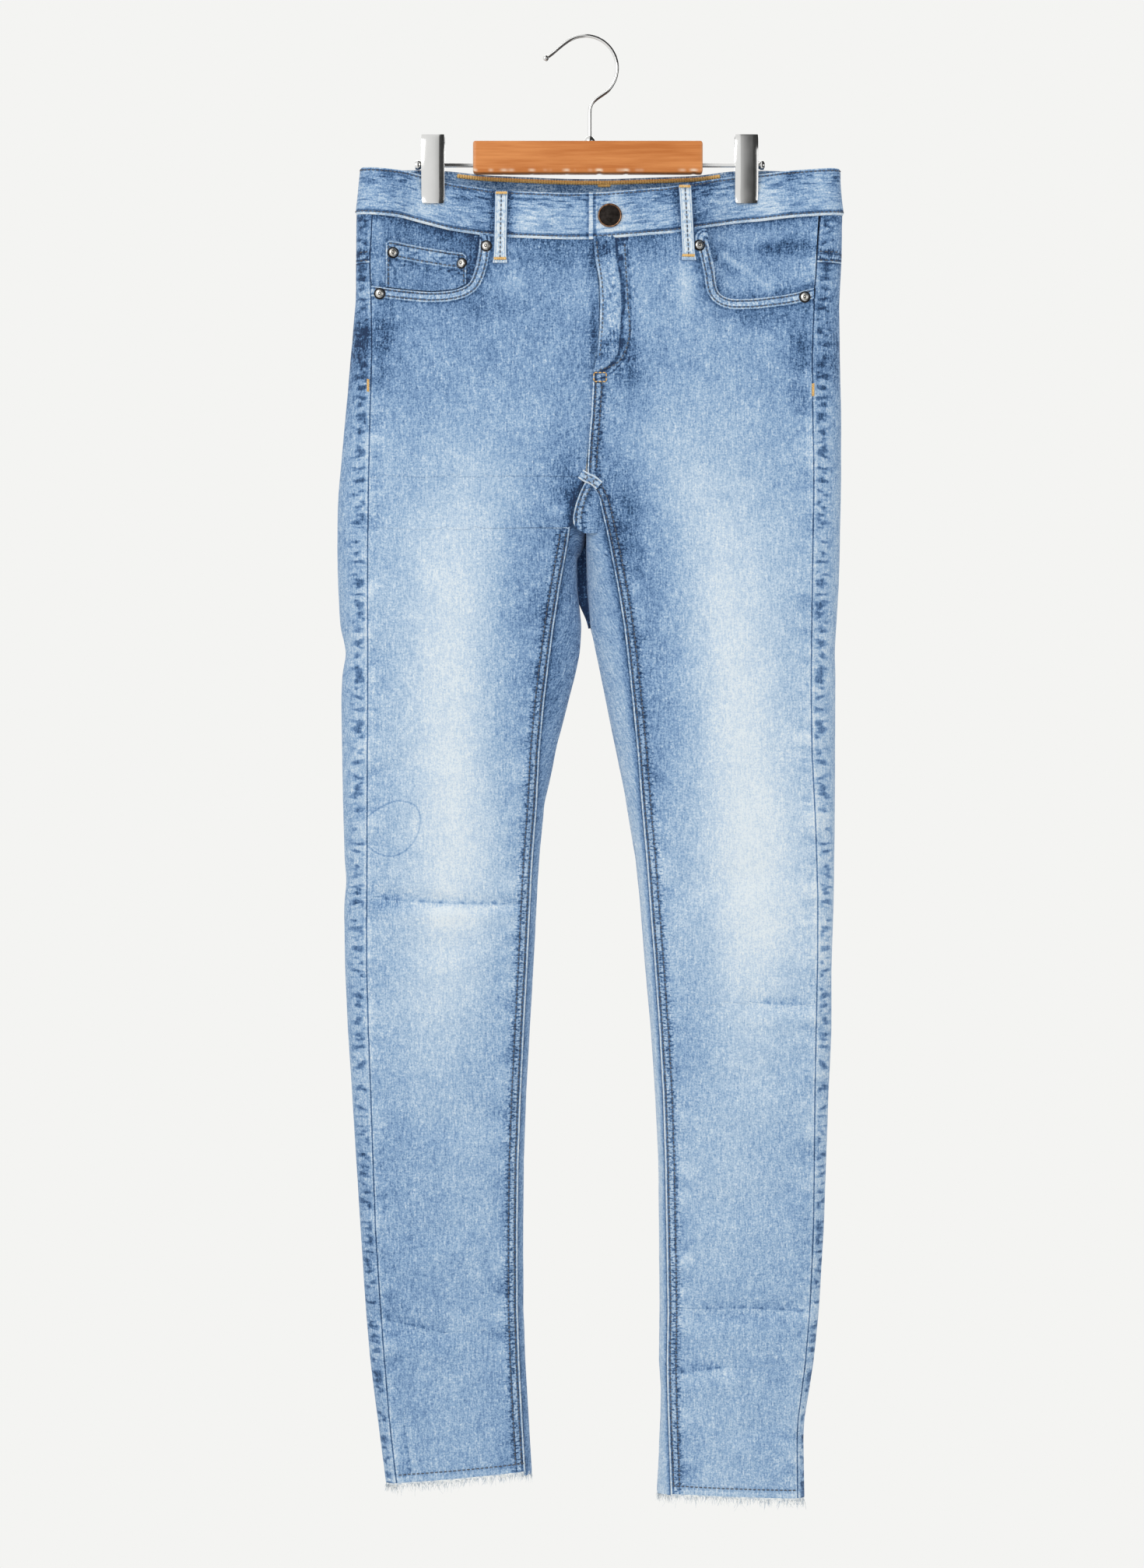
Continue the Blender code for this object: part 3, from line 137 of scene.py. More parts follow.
# Soft troughs in the cloth with a ridge below each, from one point to another
Fold = namedtuple("Fold", "from_x from_z to_x to_z half_width depth")
FOLDS = {
    ("right", "front"): table(Fold,
        (156, -648, 112, -652, 6, 1.9), (114, -652, 62, -654, 5, 1.6),
        (150, -690, 96, -684, 9, 0.9), (155, -967, 113, -977, 8, 1.8),
        (141, -1050, 134, -1090, 5, 0.9), (160, -560, 132, -548, 12, 0.8),
        (60, -470, 96, -440, 13, 0.9), (120, -820, 72, -812, 12, 1.0),
        (140, -905, 100, -897, 10, 0.9), (20, -300, 62, -268, 9, 0.9),
        (60, -214, 96, -226, 8, 0.7)),
    ("left", "front"): table(Fold,
        (122, -727, 156, -729, 7, 1.6), (163, -958, 87, -962, 9, 1.7),
        (68, -1006, 104, -1002, 7, 1.4), (75, -640, 128, -632, 14, 1.0),
        (80, -790, 140, -782, 13, 1.0), (86, -880, 140, -874, 12, 1.0),
        (50, -470, 92, -446, 13, 0.9), (14, -292, 48, -262, 9, 0.9), (66, -212, 94, -224, 8, 0.8),
        (110, -1052, 146, -1046, 8, 1.0)),
    ("right", "back"): table(Fold,
        (160, -640, 60, -652, 11, 2.4), (150, -676, 80, -666, 10, 1.8),
        (70, -700, 140, -704, 9, 1.2), (150, -612, 96, -618, 9, 1.2),
        (70, -404, 150, -380, 13, 2.2), (60, -440, 130, -412, 12, 1.3),
        (150, -960, 96, -952, 12, 1.4), (140, -850, 84, -858, 13, 1.1)),
    ("left", "back"): table(Fold,
        (62, -636, 158, -650, 11, 2.4), (80, -672, 150, -664, 10, 1.8),
        (76, -606, 140, -612, 9, 1.3), (84, -708, 150, -700, 9, 1.1),
        (70, -404, 150, -382, 13, 2.2), (58, -436, 124, -414, 12, 1.3),
        (92, -966, 152, -956, 12, 1.4), (84, -846, 142, -838, 13, 1.1)),
}


def mix(a, b, share):
    return a + (b - a) * share


def step_up(value, low, high):
    share = np.clip((value - low) / (high - low), 0.0, 1.0)
    return share * share * (3 - 2 * share)


def eased(count):
    """Shares from 0 to 1 that lie closer together at both ends."""
    return (1 - np.cos(np.linspace(0, math.pi, count))) / 2


def unit(rows):
    return rows / np.linalg.norm(rows, axis=-1)[..., None]


def run_along(line):
    """How far along a line each of its points is."""
    return np.concatenate(([0.0], np.cumsum(np.linalg.norm(np.diff(line, axis=0), axis=1))))


def points_at(wanted, gone, line):
    """The points of a line at some lengths along it."""
    return np.stack([np.interp(wanted, gone, line[:, k]) for k in range(line.shape[1])], axis=1)


def quarter_round(share):
    return np.sqrt(np.maximum(0.0, 1 - (1 - np.clip(share, 0.0, 1.0)) ** 2))


def rounded(pairs, soften):
    """The curve through a table of pairs, with its corners rounded over `soften` millimetres."""
    pairs = sorted(pairs)
    places = np.arange(pairs[0][0] - 60.0, pairs[-1][0] + 60.0)
    values = np.interp(places, [p[0] for p in pairs], [p[1] for p in pairs])
    reach = int(3 * soften)
    kernel = np.exp(-0.5 * (np.arange(-reach, reach + 1) / soften) ** 2)
    values = np.convolve(np.pad(values, reach, mode="edge"), kernel / kernel.sum(), mode="valid")
    return lambda at: np.interp(at, places, values)


DEPTH_OF = {name: rounded([(row.z, getattr(row, name)) for row in DEPTHS], 12)
            for name in ("front", "back", "edge", "turn")}
BAND_TOP = {"front": rounded(BAND_TOP_FRONT, 7), "back": rounded(BAND_TOP_BACK, 7)}


def uneven(seed, soften, low=-1130, high=-90):
    """A random line down a seam, about -2 to 2, whose ups and downs are a few `soften` long."""
    rng = np.random.default_rng(seed)
    places = np.arange(float(low), float(high))
    reach = int(4 * soften)
    kernel = np.exp(-0.5 * (np.arange(-reach, reach + 1) / soften) ** 2)
    line = np.convolve(rng.normal(size=len(places) + 2 * reach), kernel, mode="valid")
    line /= line.std()
    return lambda at: np.interp(at, places, line)


class Side:
    """One side of the jeans. Places are (across, y, z), with across outwards from the middle."""

    def __init__(self, name, sign, levels, seed):
        self.name = name
        self.sign = sign
        low = [row for row in levels if row.z <= CROTCH_Z]
        self.outer = rounded([(row.z, row.outer) for row in levels], 4)
        self.side_seam = rounded([(row.z, row.side_seam) for row in levels], 5)
        self.inner = rounded([(row.z, row.inner) for row in low], 2)
        self.inseam = rounded([(row.z, row.inseam) for row in low], 3)
        edge = [(z, sign * x) for z, x in FRONT_EDGE if z > CROTCH_Z]
        self.front_edge = rounded(edge + [(row.z, row.inseam) for row in low], 2.5)
        self.felled_from = FLY_END if sign > 0 else CROTCH_Z
        self.back_edge = rounded([(z, sign * x) for z, x in BACK_EDGE], 3)
        self.hem = rounded(HEM[name], 3)
        self.mouth = np.array(MOUTHS[name])
        self.side_pucker = uneven(seed, 4.2)
        self.side_pucker_2 = uneven(seed + 1, 2.4)
        self.inseam_pucker = uneven(seed + 2, 3.2)

    def world(self, places):
        return places * np.array((self.sign, 1.0, 1.0))

    def folded(self, face, across, z):
        """How far the folds press the cloth in."""
        total = np.zeros(np.shape(z))
        for fold in FOLDS[self.name, face]:
            run_x, run_z = fold.to_x - fold.from_x, fold.to_z - fold.from_z
            length = math.hypot(run_x, run_z)
            share = ((across - fold.from_x) * run_x + (z - fold.from_z) * run_z) / length ** 2
            share_in = np.clip(share, 0.0, 1.0)
            beside = np.hypot(across - fold.from_x - run_x * share_in,
                              z - fold.from_z - run_z * share_in)
            below = (fold.from_z + run_z * share_in) - z
            trough = np.exp(-(beside / fold.half_width) ** 2)
            ridge = np.exp(-((beside - 1.9 * fold.half_width) / fold.half_width) ** 2)
            total += fold.depth * (trough - 0.45 * ridge * step_up(below, -2, 6))
        return total

    def relief(self, face, across, z):
        """Low relief that stands out of the cloth: puckers, the felled inseam, the mouth's hem."""
        seam = np.abs(across - self.side_seam(z))
        on_front = 1.0 if face == "front" else 0.0
        up = on_front * 0.55 * self.side_pucker(z) * np.exp(-(seam / 9.0) ** 2)
        up = up + on_front * 0.35 * np.exp(-(seam / 4.0) ** 2)
        low = z <= self.felled_from
        beside = across - self.front_edge(z)
        felled = step_up(beside, -0.8, 0.5) * (1 - step_up(beside, 7.4, 9.6))
        ladder = self.inseam_pucker(z + 0.35 * beside)
        on_leg = np.where(low, on_front, 0.0)
        up = up + on_leg * felled * (0.75 + 0.3 * ladder)
        up = up + on_leg * 0.3 * ladder * np.exp(-((beside - 12) / 7.0) ** 2)
        inside = step_up(-beside, 0.0, 1.5)
        up = up - on_leg * 0.35 * inside * (1 + 0.6 * ladder) * np.exp(-(beside / 5.0) ** 2)
        return up

    def half_depth(self, face, across, z):
        outer = self.outer(z)
        edge = DEPTH_OF["edge"](z)
        turn = DEPTH_OF["turn"](z)
        full = DEPTH_OF[face](z)
        low = z <= CROTCH_Z
        inner = self.inner(z)
        open_leg = step_up(-z, -CROTCH_Z, -LEGS_ROUND_Z)
        half = (outer - inner) / 2
        crown = 1 - (across / outer) ** 2
        leg_crown = 1 - ((across - inner - half) / half) ** 2
        crown = np.where(low, mix(crown, leg_crown, open_leg), crown)
        inner_round = quarter_round((across - inner) / mix(1.0, turn, open_leg))
        inner_round = np.where(low, inner_round, 1.0)
        round_off = quarter_round((outer - across) / turn)
        depth = inner_round * (edge * round_off + (full - edge) * np.maximum(crown, 0.0))
        pinch = step_up(z, -250.0, -128.0)
        beside = np.maximum(np.abs(across - CLIP_X) - CLIP_HALF_WIDTH, 0.0)
        depth = mix(depth, CLIP_HALF_DEPTH, pinch * np.exp(-(beside / CLIP_SPREAD) ** 2))
        return depth - self.folded(face, across, z) * round_off * inner_round

    def place(self, face, across, z, lift=0.0):
        """Points of the cloth's outer face, moved out by lift in depth."""
        across = np.asarray(across, float) + np.zeros(np.shape(z))
        z = np.asarray(z, float) + np.zeros(np.shape(across))
        depth = self.half_depth(face, across, z) + self.relief(face, across, z) + lift
        return np.stack((across, depth if face == "back" else -depth, z), axis=-1)


RIGHT = Side("right", -1, RIGHT_LEVELS, 11)
LEFT = Side("left", 1, LEFT_LEVELS, 47)
SIDES = (RIGHT, LEFT)

# Where the wash has faded each leg: a soft band down its middle, with its centre and width
Fade = namedtuple("Fade", "z centre half_width peak outside inside")
FADES = {
    "right": table(Fade,
        (-140, 96, 60, 0.51, 0.52, 0.46), (-240, 96, 60, 0.52, 0.40, 0.49),
        (-300, 92, 55, 0.68, 0.58, 0.54), (-340, 88, 48, 0.82, 0.64, 0.48),
        (-385, 104, 48, 0.90, 0.64, 0.46), (-430, 104, 42, 0.95, 0.66, 0.45),
        (-520, 104, 40, 0.97, 0.68, 0.50), (-610, 103, 42, 0.98, 0.68, 0.60),
        (-660, 102, 42, 0.94, 0.66, 0.62), (-700, 108, 40, 0.92, 0.66, 0.60),
        (-740, 114, 38, 0.84, 0.66, 0.62), (-790, 116, 34, 0.74, 0.66, 0.62),
        (-840, 90, 30, 0.70, 0.60, 0.66), (-960, 100, 34, 0.64, 0.56, 0.60),
        (-1090, 100, 30, 0.66, 0.62, 0.56)),
    "left": table(Fade,
        (-140, 96, 60, 0.56, 0.54, 0.48), (-240, 90, 60, 0.62, 0.46, 0.46),
        (-300, 80, 55, 0.74, 0.62, 0.48), (-340, 84, 48, 0.84, 0.66, 0.46),
        (-385, 100, 46, 0.88, 0.68, 0.44), (-430, 102, 42, 0.95, 0.70, 0.44),
        (-520, 110, 40, 0.98, 0.72, 0.50), (-610, 120, 47, 1.0, 0.73, 0.62),
        (-660, 124, 48, 1.0, 0.76, 0.66), (-700, 122, 40, 0.94, 0.72, 0.64),
        (-740, 124, 36, 0.84, 0.70, 0.64), (-790, 122, 32, 0.78, 0.68, 0.68),
        (-840, 100, 30, 0.77, 0.69, 0.70), (-960, 100, 34, 0.69, 0.64, 0.65),
        (-1108, 106, 30, 0.72, 0.64, 0.62)),
}
FADE_OF = {name: {column: rounded([(row.z, getattr(row, column)) for row in rows], 14)
                  for column in Fade._fields[1:]} for name, rows in FADES.items()}

# Places painted darker or lighter, as soft ovals. Most are where the wash left the cloth darker or
# rubbed it lighter; the dark ones at across -3 and -2.6, beside the fly's edge, and at (14, -352),
# beside the crotch lobe, are painted shade.
Patch = namedtuple("Patch", "x z half_width half_height tone")
PATCHES = {
    "right": table(Patch,
        (156, -248, 7, 34, -0.16), (172, -232, 9, 18, -0.40), (96, -170, 14, 14, -0.10),
        (26, -168, 30, 9, -0.20), (-3, -172, 4, 12, -0.34), (112, -654, 44, 2.6, -0.15),
        (150, -652, 8, 6, -0.22), (106, -664, 30, 8, 0.08), (138, -974, 16, 5, -0.10),
        (24, -344, 14, 24, -0.06), (-2.6, -228, 3.2, 27, -0.42), (6, -190, 10, 26, 0.10),
        (18, -320, 14, 26, -0.10), (78, -206, 16, 9, -0.20), (58, -186, 9, 12, 0.14),
        (66, -182, 5, 5, -0.10), (132, -206, 24, 6, 0.08), (152, -226, 9, 22, -0.18),
        (130, -232, 20, 14, 0.08), (150, -300, 12, 60, 0.04), (40, -250, 34, 44, 0.05),
        (14, -352, 5, 20, -0.30)),
    "left": table(Patch,
        (158, -254, 8, 30, -0.18), (182, -236, 8, 26, -0.16), (160, -158, 20, 9, -0.16),
        (40, -164, 30, 7, -0.16), (31, -241, 6, 20, -0.34), (106, -962, 30, 4, -0.12),
        (84, -1003, 20, 4, -0.10), (140, -728, 14, 5, -0.08), (26, -366, 13, 34, -0.30),
        (36, -310, 20, 18, 0.06), (40, -200, 9, 26, 0.12), (72, -190, 7, 20, 0.26),
        (128, -214, 26, 7, -0.18), (86, -176, 10, 14, -0.16), (30, -258, 16, 8, -0.16),
        (10, -163, 9, 6, -0.34), (170, -196, 8, 14, -0.16), (158, -226, 8, 9, -0.14),
        (14, -234, 7, 5, -0.30), (9, -246, 6, 4, -0.36), (19, -225, 4, 4, -0.22),
        (8, -205, 3, 4, -0.14)),
}


WASH_OFFSET = -0.035  # all the cloth, against the fades
UNDER_BAND = (0.26, 6.0)  # the shade below the waistband, and how far down it goes
# On the left leg this strip is painted paler, as light against the shade where the leg curves
# inwards.
BACK_STRIP = {"right": -0.02, "left": 0.22}  # the back leg's strip inside the inseam


def wash_and_shade(side, face, across, z):
    """How pale the denim is painted, from 0, unfaded, to 1, nearly white: its wash, with some
    painted shade and light, such as the shade below the waistband.
    """
    fade = FADE_OF[side.name]
    away = (across - fade["centre"](z)) / fade["half_width"](z)
    rest = np.where(away > 0, fade["outside"](z), fade["inside"](z))
    peak = fade["peak"](z) if face == "front" else mix(rest, fade["peak"](z), 0.6)
    tone = mix(rest, peak, np.exp(-away ** 2))
    for patch in PATCHES[side.name] if face == "front" else ():
        near = ((across - patch.x) / patch.half_width) ** 2
        near = near + ((z - patch.z) / patch.half_height) ** 2
        tone = tone + patch.tone * np.exp(-near)
    tone = tone + WASH_OFFSET
    under = BAND_TOP[face](side.sign * across) - BAND_HEIGHT - z
    tone = tone - UNDER_BAND[0] * np.exp(-(under / UNDER_BAND[1]) ** 2) * (under > -3)
    if face == "back":
        return tone
    beside = across - side.side_seam(z)
    pucker = side.side_pucker(z + 0.3 * beside)
    tone = tone + 0.05 * pucker * np.exp(-(beside / 12.0) ** 2)
    low = step_up(-z, -CROTCH_Z - 6, -CROTCH_Z + 2)
    inside = across - side.inseam(z)
    tone = tone + low * 0.06 * side.inseam_pucker(z) * np.exp(-((inside - 12) / 7.0) ** 2)
    tone = tone + low * BACK_STRIP[side.name] * step_up(-inside, 0.2, 1.5)
    up = z - side.hem(across)
    tone = tone + 0.08 * np.exp(-((up - 2.5) / 2.0) ** 2) - 0.09 * np.exp(-((up - 6.0) / 1.2) ** 2)
    return tone


def linear(hex_colour):
    """An sRGB hex colour as linear RGBA."""
    parts = [int(hex_colour[n:n + 2], 16) / 255 for n in (1, 3, 5)]
    return (*[c / 12.92 if c <= 0.04045 else ((c + 0.055) / 1.055) ** 2.4 for c in parts], 1.0)


def new_material(name):
    made = bpy.data.materials.new(name)
    made.use_nodes = True
    return made


def node(made, kind, links=None, **settings):
    """Adds a node: settings are its own, links are its inputs, by name or number."""
    added = made.node_tree.nodes.new("ShaderNode" + kind)
    for key, value in settings.items():
        setattr(added, key, value)
    for key, value in (links or {}).items():
        socket = added.inputs[key]
        if isinstance(value, bpy.types.NodeSocket):
            made.node_tree.links.new(value, socket)
        else:
            socket.default_value = value
    return added


def finish_shader(made, roughness, colour=None, normal=None, **constants):
    """Sets the constant inputs of a material's shader and links what varies."""
    shader = made.node_tree.nodes["Principled BSDF"]
    for key, value in {"Roughness": roughness, **constants}.items():
        if isinstance(value, bpy.types.NodeSocket):
            made.node_tree.links.new(value, shader.inputs[key])
        else:
            shader.inputs[key].default_value = value
    for key, value in (("Base Color", colour), ("Normal", normal)):
        if isinstance(value, bpy.types.NodeSocket):
            made.node_tree.links.new(value, shader.inputs[key])
        elif value is not None:
            shader.inputs[key].default_value = value
    return made


# Ring-spun stretch denim, stone washed: white weft shows through the blue warp, so the eye sees a
# fine salt-and-pepper grain and short upright slubs, on a blue from mid indigo to nearly white.
# Beside each seam the wash has caught the puckers, so there it is lined and blotched dark and pale,
# and the thin dark lines in the seams' gaps and beside raised edges are painted shade.
WASH_COLOURS = ((-0.12, "#1d3455"), (0.0, "#29486b"), (0.23, "#4b6c94"), (0.45, "#7090b6"),
                (0.58, "#87a5c6"), (0.71, "#a0b9d2"), (0.84, "#bacddf"), (1.0, "#dce5ea"))
SLUB = (1.05, 6.0, 9.0)  # mm; the real slubs are 0.5 to 1 mm wide, too fine for the picture
WEFT = (4.0, 1.15, 9.0)
GRAIN = (1.05, 1.15, 9.0)  # mm; the real twill is 0.6 mm
MOTTLE = (4.5, 6.0, 9.0)
CLOUD = (20.0, 30.0, 60.0)
# Where the wash has taken more dye out, less of the grain is left to see
GRAIN_UNFADED = 2.35
GRAIN_LOSS = -1.9

# What a seam does to the cloth at a distance from it: how much paler or darker it is painted, some
# dark lines being painted shade in the seams' gaps and beside raised edges, how strongly its
# puckers show, and how high the cloth stands. Puckers are `along` by `beside` millimetres.
Mark = namedtuple("Mark", "mm tone puckers height")
Seam = namedtuple("Seam", "attribute beside along marks")


def marked_seam(attribute, beside, along, *marks):
    return Seam(attribute, beside, along, table(Mark, *marks))


# The dark line at -0.5 mm, just past the felled edge, is painted shade in the gap there.
INSEAM = marked_seam("edge", 3.4, 1.5,
    (-14, 0, 0, 0.5), (-5, -0.06, 0.05, 0.45), (-1.4, -0.22, 0.2, 0.3), (-0.5, -0.70, 0.1, 0.1),
    (-0.1, 0.12, 0, 0.6), (0.4, 0.38, 0, 1), (1.0, 0.20, 0.1, 1), (1.5, -0.44, 0.1, 0.4),
    (2.4, -0.50, 0.2, 0.4), (3.0, -0.02, 0.7, 0.8), (4.2, 0.03, 1.1, 0.9), (5.8, -0.04, 1.0, 0.7),
    (6.4, -0.46, 0.3, 0.4), (7.2, -0.26, 0.8, 0.6), (8.8, -0.04, 0.8, 0.5),
    (11.5, 0.02, 0.25, 0.5), (16, 0, 0, 0.5))
# The dark line within 0.25 mm of the seam is painted shade in its gap.
SIDE_SEAM = marked_seam("side", 12.0, 5.0,
    (-18, 0, 0, 0.5), (-12, 0.02, 0.05, 0.5), (-6, 0.03, 0.2, 0.5), (-2, 0.08, 0.15, 0.6),
    (-0.7, 0.14, 0.0, 0.7), (-0.25, -0.5, 0, 0.2), (0.25, -0.5, 0, 0.2), (0.8, 0.16, 0, 0.7),
    (2.2, 0.10, 0.25, 0.6), (4.0, 0.0, 0.8, 0.5), (9.0, -0.02, 0.95, 0.45), (13.0, 0.02, 0.5, 0.5),
    (18, 0, 0, 0.5))
MOUTH_SEAM = marked_seam("mouth", 2.4, 3.0,
    (-0.2, 0.24, 0, 0.7), (0.6, 0.30, 0.1, 1), (1.2, -0.30, 0.2, 0.5), (2.0, -0.26, 0.2, 0.5),
    (2.6, 0.20, 0.5, 0.8), (5.2, 0.22, 0.5, 0.8), (5.9, -0.36, 0.2, 0.5), (6.7, 0.14, 0.2, 0.8),
    (7.4, 0.30, 0.1, 0.9), (8.2, -0.38, 0.2, 0.2), (10, -0.14, 0.3, 0.4), (15, -0.04, 0.2, 0.5),
    (22, 0, 0, 0.5))
BAND_SEAM = marked_seam("drop", 2.4, 15.0,
    (-1, 0.2, 0, 0.8), (0.6, 0.2, 0, 1), (1.3, -0.26, 0.1, 0.6), (2.1, -0.34, 0.3, 0.5),
    (2.9, 0.0, 0.5, 0.7), (7, 0.0, 0.8, 0.6), (11, 0.02, 0.6, 0.5), (15, 0.04, 0.3, 0.5),
    (20, 0.05, 0.25, 0.5), (26, 0.03, 0.45, 0.6), (31, 0.0, 0.4, 0.7), (31.9, -0.48, 0.2, 0.4),
    (33.3, -0.44, 0.1, 0.5), (33.9, 0.20, 0, 1), (36.5, 0.26, 0, 1))
PATCH_SEAM = marked_seam("rim", 2.6, 4.0,
    (-0.2, 0.12, 0, 0.6), (0.6, 0.24, 0, 1), (1.3, -0.10, 0.1, 0.6), (1.9, -0.28, 0.2, 0.4),
    (2.6, 0.02, 0.5, 0.7), (4.5, 0.03, 0.5, 0.7), (6.4, -0.04, 0.3, 0.6), (10, 0, 0.15, 0.5),
    (16, 0, 0, 0.5))
HEM_SEAM = marked_seam("fold", 2.6, 4.0,
    (-0.2, 0, 0, 0.5), (1.2, 0, 0.1, 0.8), (1.9, -0.28, 0.3, 0.4), (2.8, 0.03, 0.6, 0.7),
    (9.5, 0.02, 0.5, 0.7), (10.6, -0.26, 0.2, 0.4), (11.6, 0.04, 0.1, 0.8), (12.3, 0.08, 0, 0.9),
    (13.0, -0.30, 0.4, 0.1), (15.5, -0.12, 0.7, 0.4), (20, 0, 0.2, 0.5), (26, 0, 0, 0.5))
# The dark line from 16.3 to 17.6 mm is painted shade at the foot of the fly's raised ridge.
FLY_SEAM = marked_seam("fly", 3.0, 4.0,
    (-6, 0, 0, 0.5), (-0.6, -0.42, 0, 0.1), (-0.1, 0.05, 0, 0.7), (0.4, 0.34, 0, 1),
    (1.3, 0.26, 0, 0.9), (2.1, 0.06, 0.1, 0.7), (3.0, 0.14, 0.1, 0.9), (8, 0.19, 0.5, 0.9),
    (13.5, 0.20, 0.3, 0.9), (15.4, 0.14, 0.3, 0.8), (16.3, -0.46, 0.3, 0.2),
    (17.6, -0.46, 0.4, 0.2), (18.4, 0.05, 0.6, 0.6), (20.6, -0.02, 0.7, 0.5),
    (21.4, -0.34, 0.4, 0.4), (22.6, 0.04, 0.5, 0.5), (28, 0.02, 0.15, 0.5), (38, 0, 0, 0.5))


def fill_ramp(ramp, stops):
    while len(ramp.color_ramp.elements) < len(stops):
        ramp.color_ramp.elements.new(0.5)
    for element, (place, colour) in zip(ramp.color_ramp.elements, stops):
        element.position = place
        element.color = colour


def denim_material(name, seams):
    made = new_material(name)
    cut = node(made, "Attribute", attribute_name="cut").outputs["Vector"]
    value = node(made, "Attribute", attribute_name="wash_and_shade").outputs["Fac"]

    def noise(place, size, detail=2.0):
        scaled = node(made, "VectorMath", {0: place, 1: size}, operation="DIVIDE").outputs[0]
        return node(made, "TexNoise", {"Vector": scaled, "Scale": 1.0, "Detail": detail,
                                       "Roughness": 0.55}).outputs["Fac"]

    def weigh(what, amount, base):
        off = node(made, "Math", {0: what, 1: -0.5}, operation="ADD").outputs[0]
        return node(made, "Math", {0: off, 1: amount, 2: base}, operation="MULTIPLY_ADD").outputs[0]

    slub, salt = noise(cut, SLUB), noise(cut, GRAIN, 1.0)
    speckle = 0.0
    for what, amount in ((slub, 0.52), (noise(cut, WEFT), 0.26), (salt, 0.62),
                         (noise(cut, MOTTLE, 3.0), 0.07), (noise(cut, CLOUD), 0.20)):
        speckle = weigh(what, amount, speckle)
    left = node(made, "Math", {0: value, 1: GRAIN_LOSS, 2: GRAIN_UNFADED},
                operation="MULTIPLY_ADD").outputs[0]
    value = node(made, "Math", {0: speckle, 1: left, 2: value},
                 operation="MULTIPLY_ADD").outputs[0]
    height = weigh(slub, 0.5, salt)
    for seam in seams:
        place = node(made, "Attribute", attribute_name=seam.attribute).outputs["Vector"]
        distance = node(made, "SeparateXYZ", {0: place}).outputs[0]
        low, high = seam.marks[0].mm, seam.marks[-1].mm
        share = node(made, "MapRange", {"Value": distance, "From Min": low, "From Max": high})
        ramp = node(made, "ValToRGB", {"Fac": share.outputs[0]})
        fill_ramp(ramp, [((mark.mm - low) / (high - low),
                          (0.5 + mark.tone, mark.puckers, mark.height, 1)) for mark in seam.marks])
        tone, amount, stand = node(made, "SeparateColor", {0: ramp.outputs[0]}).outputs
        pucker = noise(place, (seam.beside, seam.along, 1.0), 1.0)
        pucker = node(made, "MapRange", {"Value": pucker, "From Min": 0.36, "From Max": 0.54,
                                         "To Min": -0.46, "To Max": 0.08},
                      interpolation_type="SMOOTHSTEP").outputs[0]
        value = weigh(tone, 1.0, value)
        value = node(made, "Math", {0: pucker, 1: amount, 2: value},
                     operation="MULTIPLY_ADD").outputs[0]
        height = node(made, "Math", {0: stand, 1: 1.6, 2: height}, operation="MULTIPLY_ADD")
        height = node(made, "Math", {0: pucker, 1: amount, 2: height.outputs[0]},
                      operation="MULTIPLY_ADD").outputs[0]
    low = WASH_COLOURS[0][0]
    share = node(made, "MapRange", {"Value": value, "From Min": low, "From Max": 1.0}).outputs[0]
    ramp = node(made, "ValToRGB", {"Fac": share})
    fill_ramp(ramp, [((place - low) / (1 - low), linear(colour)) for place, colour in WASH_COLOURS])
    bump = node(made, "Bump", {"Height": height, "Strength": 0.5, "Distance": 0.0008})
    return finish_shader(made, 0.88, ramp.outputs["Color"], bump.outputs["Normal"],
                         **{"Sheen Weight": 0.15, "Sheen Roughness": 0.5,
                            "Specular IOR Level": 0.25})


# A thin dark line in a D round the right knee.
KNEE_LINE = marked_seam("stain", 30.0, 30.0,
    (-3, 0, 0, 0.5), (-1.0, 0, 0, 0.5), (-0.3, -0.20, 0, 0.5), (0.3, -0.20, 0, 0.5),
    (1.0, 0, 0, 0.5), (3, 0, 0, 0.5))
CREASE = marked_seam("crease", 6.0, 5.0,
    (-9, 0, 0, 0.5), (-2.6, 0.09, 0, 0.6), (-0.9, 0.06, 0.1, 0.6), (-0.2, -0.10, 0.4, 0.2),
    (0.6, -0.09, 0.5, 0.3), (1.8, -0.04, 0.3, 0.4), (6, 0, 0.1, 0.5), (9, 0, 0, 0.5))
FRONT_DENIM = {"right": denim_material("stone_washed_front",
                                       (INSEAM, SIDE_SEAM, MOUTH_SEAM, KNEE_LINE, CREASE)),
               "left": denim_material("stone_washed_fly_front",
                                      (INSEAM, SIDE_SEAM, MOUTH_SEAM, FLY_SEAM, CREASE))}

FAR = 90.0  # beyond the reach of any seam


def faces_between(index):
    """Quads of a grid of point numbers."""
    return np.stack((index[:-1, :-1], index[:-1, 1:], index[1:, 1:], index[1:, :-1]),
                    axis=-1).reshape(-1, 4)


def grid_faces(grid):
    return faces_between(np.arange(grid.shape[0] * grid.shape[1]).reshape(grid.shape[:2]))


def tube_faces(rings, size):
    """Quads between closed rings of `size` points each."""
    return [[r * size + n, r * size + (n + 1) % size, (r + 1) * size + (n + 1) % size,
             (r + 1) * size + n] for r in range(rings - 1) for n in range(size)]


def add_mesh(name, points, faces, look, smooth_angle=50.0):
    """An object from points in millimetres."""
    mesh = bpy.data.meshes.new(name)
    mesh.from_pydata((np.asarray(points) * MM).tolist(), [], [list(face) for face in faces])
    mesh.shade_smooth()
    mesh.set_sharp_from_angle(angle=math.radians(smooth_angle))
    mesh.materials.append(look)
    made = bpy.data.objects.new(name, mesh)
    bpy.context.scene.collection.objects.link(made)
    return made


def outward_normals(points, faces):
    diagonal = points[faces[:, 2]] - points[faces[:, 0]]
    other = points[faces[:, 3]] - points[faces[:, 1]]
    ways = np.cross(diagonal, other)
    summed = np.zeros_like(points)
    for corner in range(4):
        np.add.at(summed, faces[:, corner], ways)
    return ways, summed / np.maximum(np.linalg.norm(summed, axis=1), 1e-9)[:, None]


